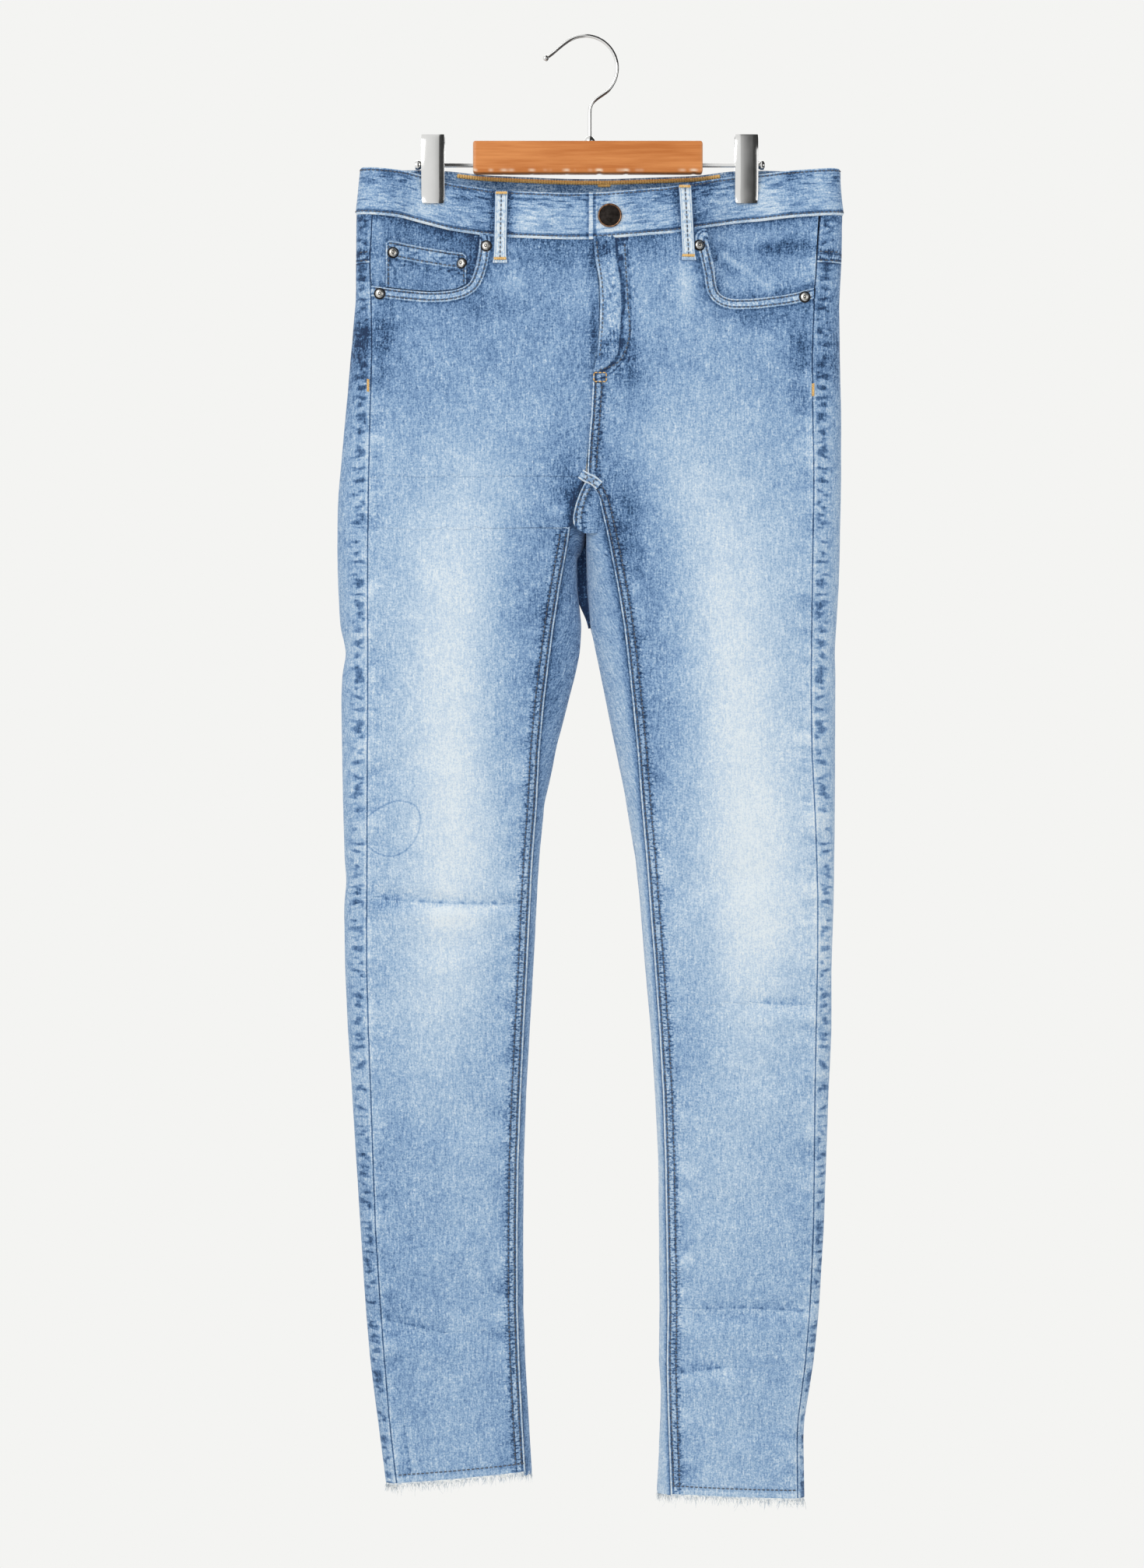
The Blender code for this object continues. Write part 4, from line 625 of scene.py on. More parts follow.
def add_cloth(name, points, faces, wall, out, cut, tone, look, seams=(), inside=-0.12):
    """A closed wall of cloth. The points, in world millimetres, are its outer face; `out` is
    roughly which way that looks. `cut` and `tone` are each point's place on the flat cloth and its
    wash with any painted shade, and `seams` gives its distance from each seam and its place along
    it. `inside` is added to the tone of the inner face, which by default makes it darker as painted
    shade."""
    ways, normals = outward_normals(points, faces)
    out = np.asarray(out, float)
    if float((ways * (out[faces[:, 0]] if out.ndim == 2 else out)).sum()) < 0:
        faces = faces[:, ::-1]
        normals = -normals
    count = len(points)
    directed = np.concatenate([np.stack((faces[:, k], faces[:, (k + 1) % 4]), 1)
                               for k in range(4)])
    keys = directed.min(1).astype(np.int64) * count + directed.max(1)
    _, place, times = np.unique(keys, return_index=True, return_counts=True)
    rim = directed[place[times == 1]]
    rim_faces = np.stack((rim[:, 1], rim[:, 0], rim[:, 0] + count, rim[:, 1] + count), 1)
    everything = np.concatenate((faces, faces[:, ::-1] + count, rim_faces))
    made = add_mesh(name, np.concatenate((points, points - normals * wall)), everything,
                    look)
    data = made.data.attributes.new("cut", "FLOAT_VECTOR", "POINT").data
    data.foreach_set("vector", np.tile(np.asarray(cut, np.float32), (2, 1)).ravel())
    data = made.data.attributes.new("wash_and_shade", "FLOAT", "POINT").data
    tone = np.asarray(tone, float).ravel()
    data.foreach_set("value", np.concatenate((tone, tone + inside)).astype(np.float32))
    for attribute, distance, along in seams:
        places = np.zeros((2 * count, 3), np.float32)
        places[:, 0] = np.concatenate((np.ravel(distance), np.full(count, FAR)))
        places[:, 1] = np.tile(np.ravel(along), 2)
        data = made.data.attributes.new(attribute, "FLOAT_VECTOR", "POINT").data
        data.foreach_set("vector", places.ravel())
    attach(made, "root")
    area = float(np.linalg.norm(ways, axis=1).sum()) / 2 * MM * MM
    print(f"{name}: {area:.4f} m2, {len(everything) * 2} triangles")
    return made


def columns_between(start, end, count, near_start=True, near_end=True):
    """Places across from one seam to another, row by row, finer beside the seams."""
    offsets = np.array(SEAM_OFFSETS)
    head = offsets if near_start else offsets[:1]
    tail = offsets[::-1] if near_end else offsets[:1]
    way = np.sign((end - start)[len(start) // 2])
    first = start[:, None] + way * head[None, :]
    last = end[:, None] - way * tail[None, :]
    shares = np.linspace(0, 1, count + 2)[1:-1]
    middle = first[:, -1:] + (last[:, :1] - first[:, -1:]) * shares[None, :]
    return np.concatenate((first, middle, last), axis=1)


def to_polyline(across, z, line):
    """The distance of each place from a line of (across, z) points, and how far along it is."""
    best, along, gone = np.full(np.shape(z), 1e9), np.zeros(np.shape(z)), 0.0
    for (x0, z0), (x1, z1) in zip(line[:-1], line[1:]):
        run_x, run_z = x1 - x0, z1 - z0
        length = math.hypot(run_x, run_z)
        share = ((across - x0) * run_x + (z - z0) * run_z) / length ** 2
        share = np.clip(share, 0.0, 1.0)
        away = np.hypot(across - x0 - run_x * share, z - z0 - run_z * share)
        along = np.where(away < best, gone + share * length, along)
        best = np.minimum(best, away)
        gone += length
    return best, along


def smooth_polyline(points, count):
    """A smooth curve through points, by Catmull-Rom, evenly resampled."""
    points = np.array(points, float)
    padded = np.vstack((2 * points[0] - points[1], points, 2 * points[-1] - points[-2]))
    fine = []
    for n in range(1, len(padded) - 2):
        p0, p1, p2, p3 = padded[n - 1:n + 3]
        for t in np.linspace(0, 1, 12, endpoint=False):
            fine.append(0.5 * (2 * p1 + (p2 - p0) * t + (2 * p0 - 5 * p1 + 4 * p2 - p3) * t * t
                               + (3 * p1 - p0 - 3 * p2 + p3) * t ** 3))
    fine.append(points[-1])
    fine = np.array(fine)
    gone = run_along(fine)
    wanted = np.linspace(0, gone[-1], count)
    return points_at(wanted, gone, fine)


def cut_places(side, across, z):
    """Each point's place on the flat cloth, with an offset so that no two panels match."""
    return np.stack((across, z, np.full(np.shape(z), 40.0 * side.sign + 90.0)),
                    axis=-1).reshape(-1, 3)


def band_foot(side, face, across):
    return BAND_TOP[face](side.sign * across) - BAND_HEIGHT + TUCK


MOUTH_HEM = 6.6
KNEE_MARK = {"right": ((178.6, -595.9), (170.9, -606.5), (160.9, -614.7), (152.1, -617.7),
                       (142.1, -615.9), (132.7, -607.7), (127.7, -595.9), (127.7, -585.9),
                       (133.6, -578.3), (150.4, -577.7)), "left": ()}
CREASES = {"right": (((154.0, -649.9), (108.6, -652.9), (64.6, -653.5)),
                     ((152.7, -966.3), (113.4, -975.2)),
                     ((139.0, -1052.0), (134.0, -1086.0))),
           "left": (((87.1, -958.0), (120.0, -957.4), (162.0, -960.4)),
                    ((69.0, -1006.4), (103.6, -1001.8)), ((133.0, -728.2), (151.0, -729.0)))}


def signed_to_loop(across, z, loop):
    """The distance from a closed line, less than 0 inside it."""
    if not loop:
        return np.full(np.shape(z), FAR), z
    ring = smooth_polyline(loop + loop[:1], 60)
    away, along = to_polyline(across, z, ring)
    inside = np.zeros(np.shape(z), bool)
    for (x0, z0), (x1, z1) in zip(ring[:-1], ring[1:]):
        level = (z0 > z) != (z1 > z)
        inside ^= level & (across < (x1 - x0) * (z - z0) / (z1 - z0 + 1e-9) + x0)
    return np.where(inside, -away, away), along


def to_creases(across, z, creases):
    """The distance from the nearest crease, less than 0 below it, or inwards of a steep one."""
    nearest, place = np.full(np.shape(z), FAR), np.array(z)
    for crease in creases:
        line = smooth_polyline(crease, 12)
        away, along = to_polyline(across, z, line)
        order = np.argsort(line[:, 0])
        if abs(line[0, 0] - line[-1, 0]) > abs(line[0, 1] - line[-1, 1]):
            above = z > np.interp(across, line[order, 0], line[order, 1])
        else:
            above = across > np.interp(-z, -line[:, 1], line[:, 0])
        signed = np.where(above, away, -away)
        place = np.where(away < np.abs(nearest), along, place)
        nearest = np.where(away < np.abs(nearest), signed, nearest)
    return nearest, place


for side in SIDES:
    mouth = smooth_polyline(side.mouth, 73)
    corner = int(np.argmin(np.linalg.norm(mouth - side.mouth[MOUTH_CORNER], axis=1)))
    inner_columns = 30
    # beside the mouth, from the waistband down to the corner
    upper_z = mouth[:corner + 1, 1]
    rise = band_foot(side, "front", mouth[0, 0]) - upper_z[0]
    upper_z = upper_z + rise * np.linspace(1, 0, corner + 1)
    start = mouth[:corner + 1, 0]
    level = np.linspace(0, 1, corner + 1)
    top_across = columns_between(start, side.front_edge(upper_z), inner_columns)
    corner_z = mouth[corner, 1]
    reached = mix(corner_z, -190.0, step_up(start[-1] - top_across, 0, 25))
    top_z = mix(band_foot(side, "front", top_across), reached, level[:, None])
    own = step_up(start[:, None] - top_across, 0, 18)
    top_z = mix(upper_z[:, None], top_z, own)
    # below the mouth, down to the hem
    lower = mouth[corner:][::-1]
    outer_count = len(lower) - 1
    rows = int(900 / ROW_PITCH)
    seam_z = edge_z = np.linspace(-190, -1090, rows + 1)
    corner_share = (side.side_seam(-190.0) - mouth[corner, 0]) / (
        side.side_seam(-190.0) - side.front_edge(-190.0))
    for _ in range(2):  # first at guessed heights, then at the rows' own
        seam, edge = side.side_seam(seam_z), side.front_edge(edge_z)
        split = mix(seam, edge, corner_share)
        outside = columns_between(seam, split, outer_count + 1 - len(SEAM_OFFSETS) - 1,
                                  near_end=False)
        inside = columns_between(split, edge, inner_columns + len(SEAM_OFFSETS) - 1,
                                 near_start=False)
        all_across = np.concatenate((outside[:, :-1], inside), axis=1)
        first_row = np.concatenate((lower[:-1, 0], top_across[-1]))
        settle = step_up(np.arange(rows + 1) * ROW_PITCH, 0, 60)[:, None]
        all_across = mix(first_row[None, :], all_across, settle)
        first_z = np.concatenate((lower[:-1, 1], top_z[-1]))
        down = np.linspace(0, 1, rows + 1)[:, None]
        all_z = mix(first_z[None, :], side.hem(all_across), down)
        seam_z, edge_z = all_z[:, 0], all_z[:, -1]
    across = np.concatenate((top_across.ravel(), all_across[1:].ravel(),
                             all_across[0, :outer_count]))
    z = np.concatenate((top_z.ravel(), all_z[1:].ravel(), all_z[0, :outer_count]))
    top_index = np.arange(top_across.size).reshape(top_across.shape)
    low_index = top_across.size + np.arange(all_across[1:].size).reshape(all_across[1:].shape)
    first_index = np.concatenate((np.arange(outer_count) + top_across.size + all_across[1:].size,
                                  top_index[-1]))
    faces = np.concatenate((faces_between(top_index),
                            faces_between(np.vstack((first_index[None, :], low_index)))))
    away, along = to_polyline(across, z, mouth)
    hem = step_up(away, 0.0, 1.2) * (1 - step_up(away, MOUTH_HEM, MOUTH_HEM + 1.6))
    lift = 0.7 * hem - 0.3 * np.exp(-(away / 0.8) ** 2)
    edge = across - side.front_edge(z)
    fly = np.full(z.shape, FAR)
    if side is LEFT:
        curve = smooth_polyline(FLY_CURVE, 60)
        off, _ = to_polyline(across, z, curve)
        inside = (z > FLY_END) & (across < np.interp(z, curve[::-1, 1], curve[::-1, 0]))
        fly = np.where(inside, np.maximum(edge, FLY_RIDGE - off), FLY_RIDGE + off)
    hidden = (side is RIGHT) & (z > LOBE_END)  # there the felled edge is folded under
    # Along this edge the inseam's dark line then falls as painted shade.
    felled = np.where(hidden, -np.abs(edge) - 0.4, edge)
    felled = np.where(z > side.felled_from, FAR, felled)
    raised = step_up(fly, -0.2, 0.9) * (1 - step_up(fly, FLY_RIDGE - 2.6, FLY_RIDGE))
    lift = lift + 1.3 * raised + 0.25 * raised * side.side_pucker_2(z + 2 * edge)
    if side is RIGHT:
        lift = lift - 1.0 * np.exp(-(edge / 5.0) ** 2) * step_up(z, CROTCH_Z, CROTCH_Z + 12)
    points = side.place("front", across, z, lift=lift)
    tone = wash_and_shade(side, "front", across, z)
    low_on_fly = np.exp(-((z + 238) / 9.0) ** 2) + np.exp(-((z + 164) / 5.0) ** 2)
    tone -= 0.16 * low_on_fly * raised
    seams = [("mouth", away, along), ("side", across - side.side_seam(z), z),
             ("edge", felled, z), ("fly", fly, z),
             ("stain", *signed_to_loop(across, z, KNEE_MARK[side.name])),
             ("crease", *to_creases(across, z, CREASES[side.name]))]
    made = add_cloth(f"front_leg_{side.name}", side.world(points), faces, PANEL_WALL, (0, -1, 0),
                     cut_places(side, across, z), tone, FRONT_DENIM[side.name], seams)
    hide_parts(f"front_{side.name}")
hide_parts("fly")

# ------------------------------------------------------------------------------- back legs
# Each back leg is one panel of the same denim. It wraps round both edges of the leg on to the
# front, and at the top it is felled to the yoke.


def wash_and_shade_round(side, flat):
    """The wash and painted shade of points that may lie on either face."""
    return np.where(flat[:, 1] > 0, wash_and_shade(side, "back", flat[:, 0], flat[:, 2]),
                    wash_and_shade(side, "front", flat[:, 0], flat[:, 2]))


YOKE_SIDE_Z = -171.0
YOKE_BACK_Z = -213.0


def back_row(side, z, end):
    """A fine line round one row: from the side seam over the outer edge to `end` on the back."""
    outer = side.outer(z)
    front = side.place("front", mix(side.side_seam(z), outer, eased(28)), np.full(28, z))
    back = side.place("back", mix(outer, end, eased(90)), np.full(90, z))
    return np.concatenate((front, back[1:]))


def resample(line, wanted):
    gone = run_along(line)
    wanted = wanted(gone[-1])
    return points_at(wanted, gone, line), wanted


def spaced(count):
    """Lengths along a section: finer beside the side seam, then evenly spread."""
    def wanted(total):
        rest = np.linspace(SEAM_OFFSETS[-1], total, count)
        return np.concatenate((SEAM_OFFSETS[:-1], rest))
    return wanted


BACK_COLUMNS = 56
BRIDGE_COLUMNS = 12
CROTCH_SAG = 40.0
YOKE_ROWS = 16
RISE_ROWS = 52
LEG_ROWS = int(755 / ROW_PITCH)
YOKE_SEAM = INSEAM._replace(attribute="yoke")
BACK_DENIM = denim_material("stone_washed_back", (INSEAM, SIDE_SEAM, YOKE_SEAM))


def row_end(side, z):
    """Where a row of the back stops: at the rise, or on the leg where the bridge takes over."""
    if z > CROTCH_Z:
        return float(side.back_edge(z)) + SEAM_GAP / 2
    inner, outer = float(side.inner(z)), float(side.outer(z))
    open_leg = float(step_up(-z, -CROTCH_Z, -LEGS_ROUND_Z))
    return inner + mix(1.0, 0.25 * (outer - inner), open_leg)


def moved_to(side, row, z, new_z):
    """The points of a row taken from height z to other heights, at the same share across."""
    on_back = row[:, 1] > 0
    seam, outer = side.side_seam(z), side.outer(z)
    share = (row[:, 0] - seam) / (outer - seam)
    front = side.side_seam(new_z) + share * (side.outer(new_z) - side.side_seam(new_z))
    inner = row_end(side, z)
    share = (row[:, 0] - inner) / (outer - inner)
    ends = np.array([row_end(side, float(level)) for level in new_z])
    back = ends + share * (side.outer(new_z) - ends)
    across = np.minimum(np.where(on_back, back, front), side.outer(new_z) - 0.01)
    return np.where(on_back[:, None], side.place("back", across, new_z),
                    side.place("front", across, new_z))


def row_points(side, z, z_at_back, foot=None, share=0.0):
    """One row of the back's outer face, which may slant from the side to the middle."""
    row, lengths = resample(back_row(side, z, row_end(side, z)), spaced(BACK_COLUMNS))
    outer, end = side.outer(z) - 6, row_end(side, z)
    slope = np.where(row[:, 1] > 0, np.clip((outer - row[:, 0]) / (outer - end), 0, 1), 0.0)
    new_z = mix(z, z_at_back, slope)
    if foot is not None:
        new_z = new_z + (foot(row[:, 0]) - foot(110.0)) * share
    return moved_to(side, row, z, new_z), lengths


for side in SIDES:
    yoke, yoke_lengths, back, back_lengths, bridges, bridge_lengths = [], [], [], [], [], []
    for share in np.linspace(0, 1, YOKE_ROWS + 1):
        row, lengths = row_points(side, mix(-136 + TUCK, YOKE_SIDE_Z, share),
                                  mix(-144 + TUCK, YOKE_BACK_Z, share))
        if share == 0:
            row[:, 2] = np.where(row[:, 1] > 0, band_foot(side, "back", row[:, 0]),
                                 band_foot(side, "front", row[:, 0]))
        yoke.append(row)
        yoke_lengths.append(lengths)
    for share in np.linspace(0, 1, RISE_ROWS + 1):
        row, lengths = row_points(side, mix(YOKE_SIDE_Z, CROTCH_Z, share),
                                  mix(YOKE_BACK_Z, -345.0, share))
        back.append(row)
        back_lengths.append(lengths)
    foot = float(side.hem(110.0))
    for share in np.linspace(0, 1, LEG_ROWS + 1):
        z = mix(CROTCH_Z, foot, share)
        slant = float(step_up(share, 0.0, 0.06))
        row, lengths = row_points(side, z, mix(mix(-345.0, foot, share), z, slant), side.hem, share)
        if share > 0:
            back.append(row)
            back_lengths.append(lengths)
        end, inner = row_end(side, z), float(side.inner(z))
        turn = eased(40)
        under = side.place("back", mix(end, inner, turn), np.full(40, z))
        top = float(side.inseam(z)) - SEAM_GAP / 2
        up = side.place("front", mix(inner, top, turn), np.full(40, z))
        bridge, gone = resample(np.concatenate((under, up[1:])),
                                lambda total: np.linspace(0, total, BRIDGE_COLUMNS + 1))
        sag = CROTCH_SAG * (1 - float(step_up(-z, -CROTCH_Z, -LEGS_ROUND_Z))) ** 2
        at = np.linspace(0, 1, BRIDGE_COLUMNS + 1)
        bridge[:, 2] += (row[-1, 2] - z) * (1 - at) - sag * np.sin(math.pi * at ** 0.8)
        bridge[:, 2] += (side.hem(bridge[:, 0]) - side.hem(row[-1, 0])) * share * at
        bridge[0] = row[-1]
        bridges.append(bridge)
        bridge_lengths.append(gone)
    yoke, back, bridges = np.array(yoke), np.array(back), np.array(bridges)
    yoke_lengths, back_lengths = np.array(yoke_lengths), np.array(back_lengths)
    felled = 1.0 if side is LEFT else -1.0
    flat = yoke.reshape(-1, 3)
    tone = wash_and_shade_round(side, flat)
    rise = felled * (yoke_lengths[:, -1:] - yoke_lengths)
    up = yoke[..., 2] - yoke[-1, :, 2]
    seams = [("side", yoke_lengths, yoke[..., 2]), ("edge", rise, yoke[..., 2]),
             ("yoke", up, yoke_lengths)]
    made = add_cloth(f"back_yoke_{side.name}", side.world(flat),
                     grid_faces(yoke), PANEL_WALL,
                     (0, 1, 0), cut_places(side, yoke_lengths.ravel() + 300, flat[:, 2]), tone,
                     BACK_DENIM, seams)
    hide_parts(f"yoke_{side.name}")
    flat = np.concatenate((back.reshape(-1, 3), bridges[:, 1:].reshape(-1, 3)))
    index = np.arange(back.shape[0] * back.shape[1]).reshape(back.shape[:2])
    extra = index.size + np.arange(bridges[:, 1:, 0].size).reshape(bridges[:, 1:, 0].shape)
    joined = np.concatenate((index[RISE_ROWS:, -1:], extra), axis=1)
    tone = wash_and_shade_round(side, flat)
    bridge_lengths = np.array(bridge_lengths)
    tail = back_lengths[RISE_ROWS:, -1:] + bridge_lengths[:, 1:]
    rise = felled * (back_lengths[:, -1:] - back_lengths)
    rise[RISE_ROWS + 1:] = FAR
    from_inseam = bridge_lengths[:, 1:] - bridge_lengths[:, -1:] - 0.2
    lengths = np.concatenate((back_lengths.ravel(), tail.ravel()))
    below = back[0, :, 2][None, :] - back[..., 2]
    seams = [("side", lengths, flat[:, 2]),
             ("edge", np.concatenate((rise.ravel(), from_inseam.ravel())), flat[:, 2]),
             ("yoke", np.concatenate((-below.ravel() - 0.3, np.full(tail.size, FAR))), lengths)]
    made = add_cloth(f"back_leg_{side.name}", side.world(flat),
                     np.concatenate((faces_between(index), faces_between(joined))), PANEL_WALL,
                     (0, 1, 0), cut_places(side, lengths, flat[:, 2]), tone, BACK_DENIM, seams)
    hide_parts(f"back_{side.name}")

# ----------------------------------------------------------------- pocket facings and coin pocket
# The facing is the denim that shows in each scooped mouth, sewn in behind the front. The coin
# pocket is a small square patch on the right one, with a turned top edge under two rows.

FACING_DROP = 1.9
FACING_WALL = 1.0
FACING_REACH = 9.0
COIN_X = (153.6, 93.0)
COIN_TOP = ((90.6, -164.6), (152.3, -154.0))
COIN_HEM = 12.5
FACING_DENIM = denim_material("stone_washed_facing", (SIDE_SEAM,))
PATCH_DENIM = denim_material("stone_washed_patch", (PATCH_SEAM, HEM_SEAM))


def facing_lift(side, across, z):
    """The facing lies behind the front, but meets the side seam at its level."""
    beside = side.side_seam(z) - across
    foot = np.interp(across, side.mouth[2:, 0], side.mouth[2:, 1])
    level = (1 - step_up(beside, 1.0, 10.0)) * step_up(z - foot, 2.0, 9.0)
    return -FACING_DROP + (FACING_DROP - 0.1) * level


for side in SIDES:
    low = side.mouth[:, 1].min() - FACING_REACH
    share_down = np.linspace(0, 1, 26)[:, None]
    share_in = np.linspace(0, 1, 44)[None, :]
    inner = side.mouth[:, 0].min() - FACING_REACH
    z = mix(-150.0, low, share_down) + 0 * share_in
    across = mix(side.side_seam(z) - SEAM_GAP / 2, inner, share_in)
    z = mix(band_foot(side, "front", across), low, share_down)
    points = side.place("front", across, z, lift=facing_lift(side, across, z))
    inside, _ = to_polyline(across, z, side.mouth)
    tone = wash_and_shade(side, "front", across, z) - (0.16 if side is RIGHT else 0.0)
    # Painted shadow of the front's edge along the mouth.
    tone = tone - 0.26 * np.exp(-(inside / 5.0) ** 2)
    if side is LEFT:
        crease, _ = to_polyline(across, z, ((101.0, -164.4), (135.5, -189.6)))
        points[..., 1] -= 0.7 * np.exp(-(crease / 2.6) ** 2)
        tone = tone + 0.20 * np.exp(-(crease / 2.0) ** 2)
        tone = tone - 0.20 * np.exp(-((crease - 6) / 3.0) ** 2) * (across < 114)
        # Painted shade at the top of the left facing.
        tone = tone - 0.30 * np.exp(-((z + 160) / 5.0) ** 2) * np.exp(-((across - 144) / 22) ** 2)
        tone = tone + 0.08 * np.sin(across / 4.0) * np.exp(-((z + 192) / 6.0) ** 2)
    else:
        tone = tone + 0.22 * np.exp(-((across - 159) / 4.5) ** 2)
        # Painted shade beside the mouth's side part.
        tone = tone - 0.12 * np.exp(-((across - 86) / 6.0) ** 2)
    made = add_cloth(f"mouth_facing_{side.name}", side.world(points.reshape(-1, 3)),
                     grid_faces(z), FACING_WALL, (0, -1, 0),
                     cut_places(side, across + 200, z), tone, FACING_DENIM,
                     [("side", across - side.side_seam(z), z)])
    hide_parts(f"pocket_facing_{side.name}")


def coin_top(across):
    corner = np.minimum(np.abs(across - COIN_X[0]), np.abs(across - COIN_X[1]))
    return (np.interp(across, [p[0] for p in COIN_TOP], [p[1] for p in COIN_TOP])
            - 2.2 * np.exp(-(corner / 1.6) ** 2))


coin_across = np.concatenate((COIN_X[0] - np.array((0.0, 0.6, 1.4)),
                              np.linspace(COIN_X[0] - 3, COIN_X[1] + 3, 26),
                              COIN_X[1] + np.array((1.4, 0.6, 0.0))))[None, :]
share_down = np.concatenate(((0.0, 0.02, 0.05, 0.1), np.linspace(0.16, 1.0, 14)))[:, None]
foot = np.interp(coin_across, RIGHT.mouth[2:, 0], RIGHT.mouth[2:, 1]) + 0.9
z = mix(coin_top(coin_across), foot, share_down)
across = coin_across + 0 * z
rim = np.minimum.reduce((COIN_X[0] - across, across - COIN_X[1], coin_top(across) - z))
hem = coin_top(across) - z
lift = facing_lift(RIGHT, across, z) + 1.5 - 0.5 * np.exp(-(rim / 0.8) ** 2)
lift += 0.5 * (1 - step_up(hem, COIN_HEM - 1, COIN_HEM + 1))
tone = wash_and_shade(RIGHT, "front", across, z) + 0.08
tone += -0.14 * step_up(hem, COIN_HEM, COIN_HEM + 6) * np.exp(-((hem - 30) / 18) ** 2)
points = RIGHT.place("front", across, z, lift=lift).reshape(-1, 3)
made = add_cloth("coin_pocket_patch", RIGHT.world(points), grid_faces(z), 0.9,
                 (0, -1, 0), cut_places(RIGHT, across + 420, z), tone, PATCH_DENIM,
                 [("rim", rim, z), ("fold", hem, across)])
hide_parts("coin_pocket")

# ---------------------------------------------------------------------------- back pockets
# Two plain five-sided patches with a turned mouth, sewn round with two rows.

POCKET_X = 88.0
POCKET_Z = (-232.0, -350.0)
POCKET_HALF_WIDTHS = (63.0, 55.0)
POCKET_POINT = -372.0
POCKET_HEM = 24.0
POCKET_WALL = 1.1


def pocket_edge(share):
    """The half width at a share of the pocket's height."""
    return mix(*POCKET_HALF_WIDTHS, share)


for side in SIDES:
    over = np.concatenate(((-1, -0.985, -0.96), np.linspace(-0.93, 0.93, 32), (0.96, 0.985, 1)))
    down = np.concatenate(((0.0, 0.006, 0.015), np.linspace(0.03, 0.97, 34), (0.985, 0.994, 1)))
    over, down = over[None, :], down[:, None]
    z_flat = mix(*POCKET_Z, down) + 0 * over
    point = (POCKET_POINT - POCKET_Z[1]) * (1 - np.abs(over))
    z = z_flat + point * down ** 2
    across = POCKET_X + over * pocket_edge(down)
    rim = np.minimum((1 - np.abs(over)) * pocket_edge(down),
                     np.minimum(POCKET_Z[0] - z, z - (POCKET_Z[1] + point)))
    hem = POCKET_Z[0] - z
    lift = POCKET_WALL + 0.5 - 0.6 * np.exp(-(rim / 0.8) ** 2)
    lift = lift + 0.4 * (1 - step_up(hem, POCKET_HEM - 1, POCKET_HEM + 1))
    points = side.place("back", across, z, lift=lift)
    tone = wash_and_shade(side, "back", across, z)
    made = add_cloth(f"seat_pocket_{side.name}", side.world(points.reshape(-1, 3)),
                     grid_faces(z), POCKET_WALL, (0, 1, 0),
                     cut_places(side, across + 600, z), tone, PATCH_DENIM,
                     [("rim", rim, z), ("fold", hem * COIN_HEM / POCKET_HEM, across)])
    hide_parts(f"back_pocket_{side.name}")

# ------------------------------------------------------------------------------- waistband
# One strip of doubled denim round the waist, stitched along both edges. Its left end laps over
# the right one under the button.

BAND_WALL = 2.6
BAND_PROUD = 1.0
BAND_ROWS = (0.0, 0.5, 1.2, 2.0, 4.2, 6.0, 9.0, 12.5, 16.0, 19.5, 23.0, 26.5, 29.5, 31.3, 33.1,
             34.2, 35.0, 35.5)
BAND_UNDERLAP = 22.0
BAND_STEP = 2.9
BAND_END = -0.6  # where the left end stops over the right one
# The dark tone below 0 mm, on the right end under the lap, is painted shade of the left end's edge.
LAP_SEAM = marked_seam("lap", 3.0, 4.0,
    (-9, 0, 0, 0.5), (-3, -0.08, 0.3, 0.4), (-0.8, -0.30, 0.1, 0.2), (-0.1, -0.1, 0, 0.5),
    (0.3, 0.18, 0, 1), (2.6, 0.14, 0.1, 1), (3.3, -0.40, 0, 0.2), (4.6, -0.36, 0.2, 0.2),
    (5.6, 0.04, 0.4, 0.6), (9, 0, 0.1, 0.5), (14, 0, 0, 0.5))
BAND_DENIM = denim_material("stone_washed_band", (BAND_SEAM, LAP_SEAM))


def band_section(side, face, share, z):
    """A point of the waist ring: share 0 at the middle and 1 at the outer edge."""
    outer = float(side.outer(z))
    start = float(side.front_edge(z) if face == "front" else side.back_edge(z))
    if side is LEFT and face == "front":
        start = BAND_END
    turn = eased(60)
    across = mix(start, outer, turn)
    depth = side.half_depth(face, across, np.full(60, z))
    line = np.stack((across, depth if face == "back" else -depth), axis=1)
    gone = run_along(line)
    at = share * gone[-1]
    return np.array((side.sign * np.interp(at, gone, line[:, 0]),
                     np.interp(at, gone, line[:, 1]), z))


BAND_FINE = 56
quarter = np.linspace(0, 1, BAND_FINE + 1)
band_ring = []
for side, face, order in ((RIGHT, "front", 1), (RIGHT, "back", -1), (LEFT, "back", 1),
                          (LEFT, "front", -1)):
    for share in quarter[::order] if not band_ring else quarter[::order][1:]:
        band_ring.append((side, face, share))
band_points = []
for side, face, share in band_ring:
    across = side.sign * band_section(side, face, share, -120.0)[0]
    top = float(BAND_TOP[face](side.sign * across))
    sampled = (0, BAND_HEIGHT / 2, BAND_HEIGHT)
    levels = np.array([band_section(side, face, share, top - drop) for drop in sampled])
    band_points.append(points_at(BAND_ROWS, sampled, levels))
band_points = np.array(band_points)
ahead = np.roll(band_points, -1, axis=0)
behind = np.roll(band_points, 1, axis=0)
ahead[-1], behind[0] = band_points[-1], band_points[0]
run = ahead - behind
band_out = np.stack((-run[..., 1], run[..., 0], 0 * run[..., 0]), axis=-1)
band_out = unit(band_out)
gone = run_along(band_points[:, 0])
drops = np.array(BAND_ROWS)
band_ripple = uneven(91, 5.0, -200, 900)
band_ripple_2 = uneven(92, 9.0, -200, 900)
edge_in = -0.9 * np.exp(-(drops / 0.7) ** 2) - 0.9 * np.exp(-((BAND_HEIGHT - drops) / 0.7) ** 2)
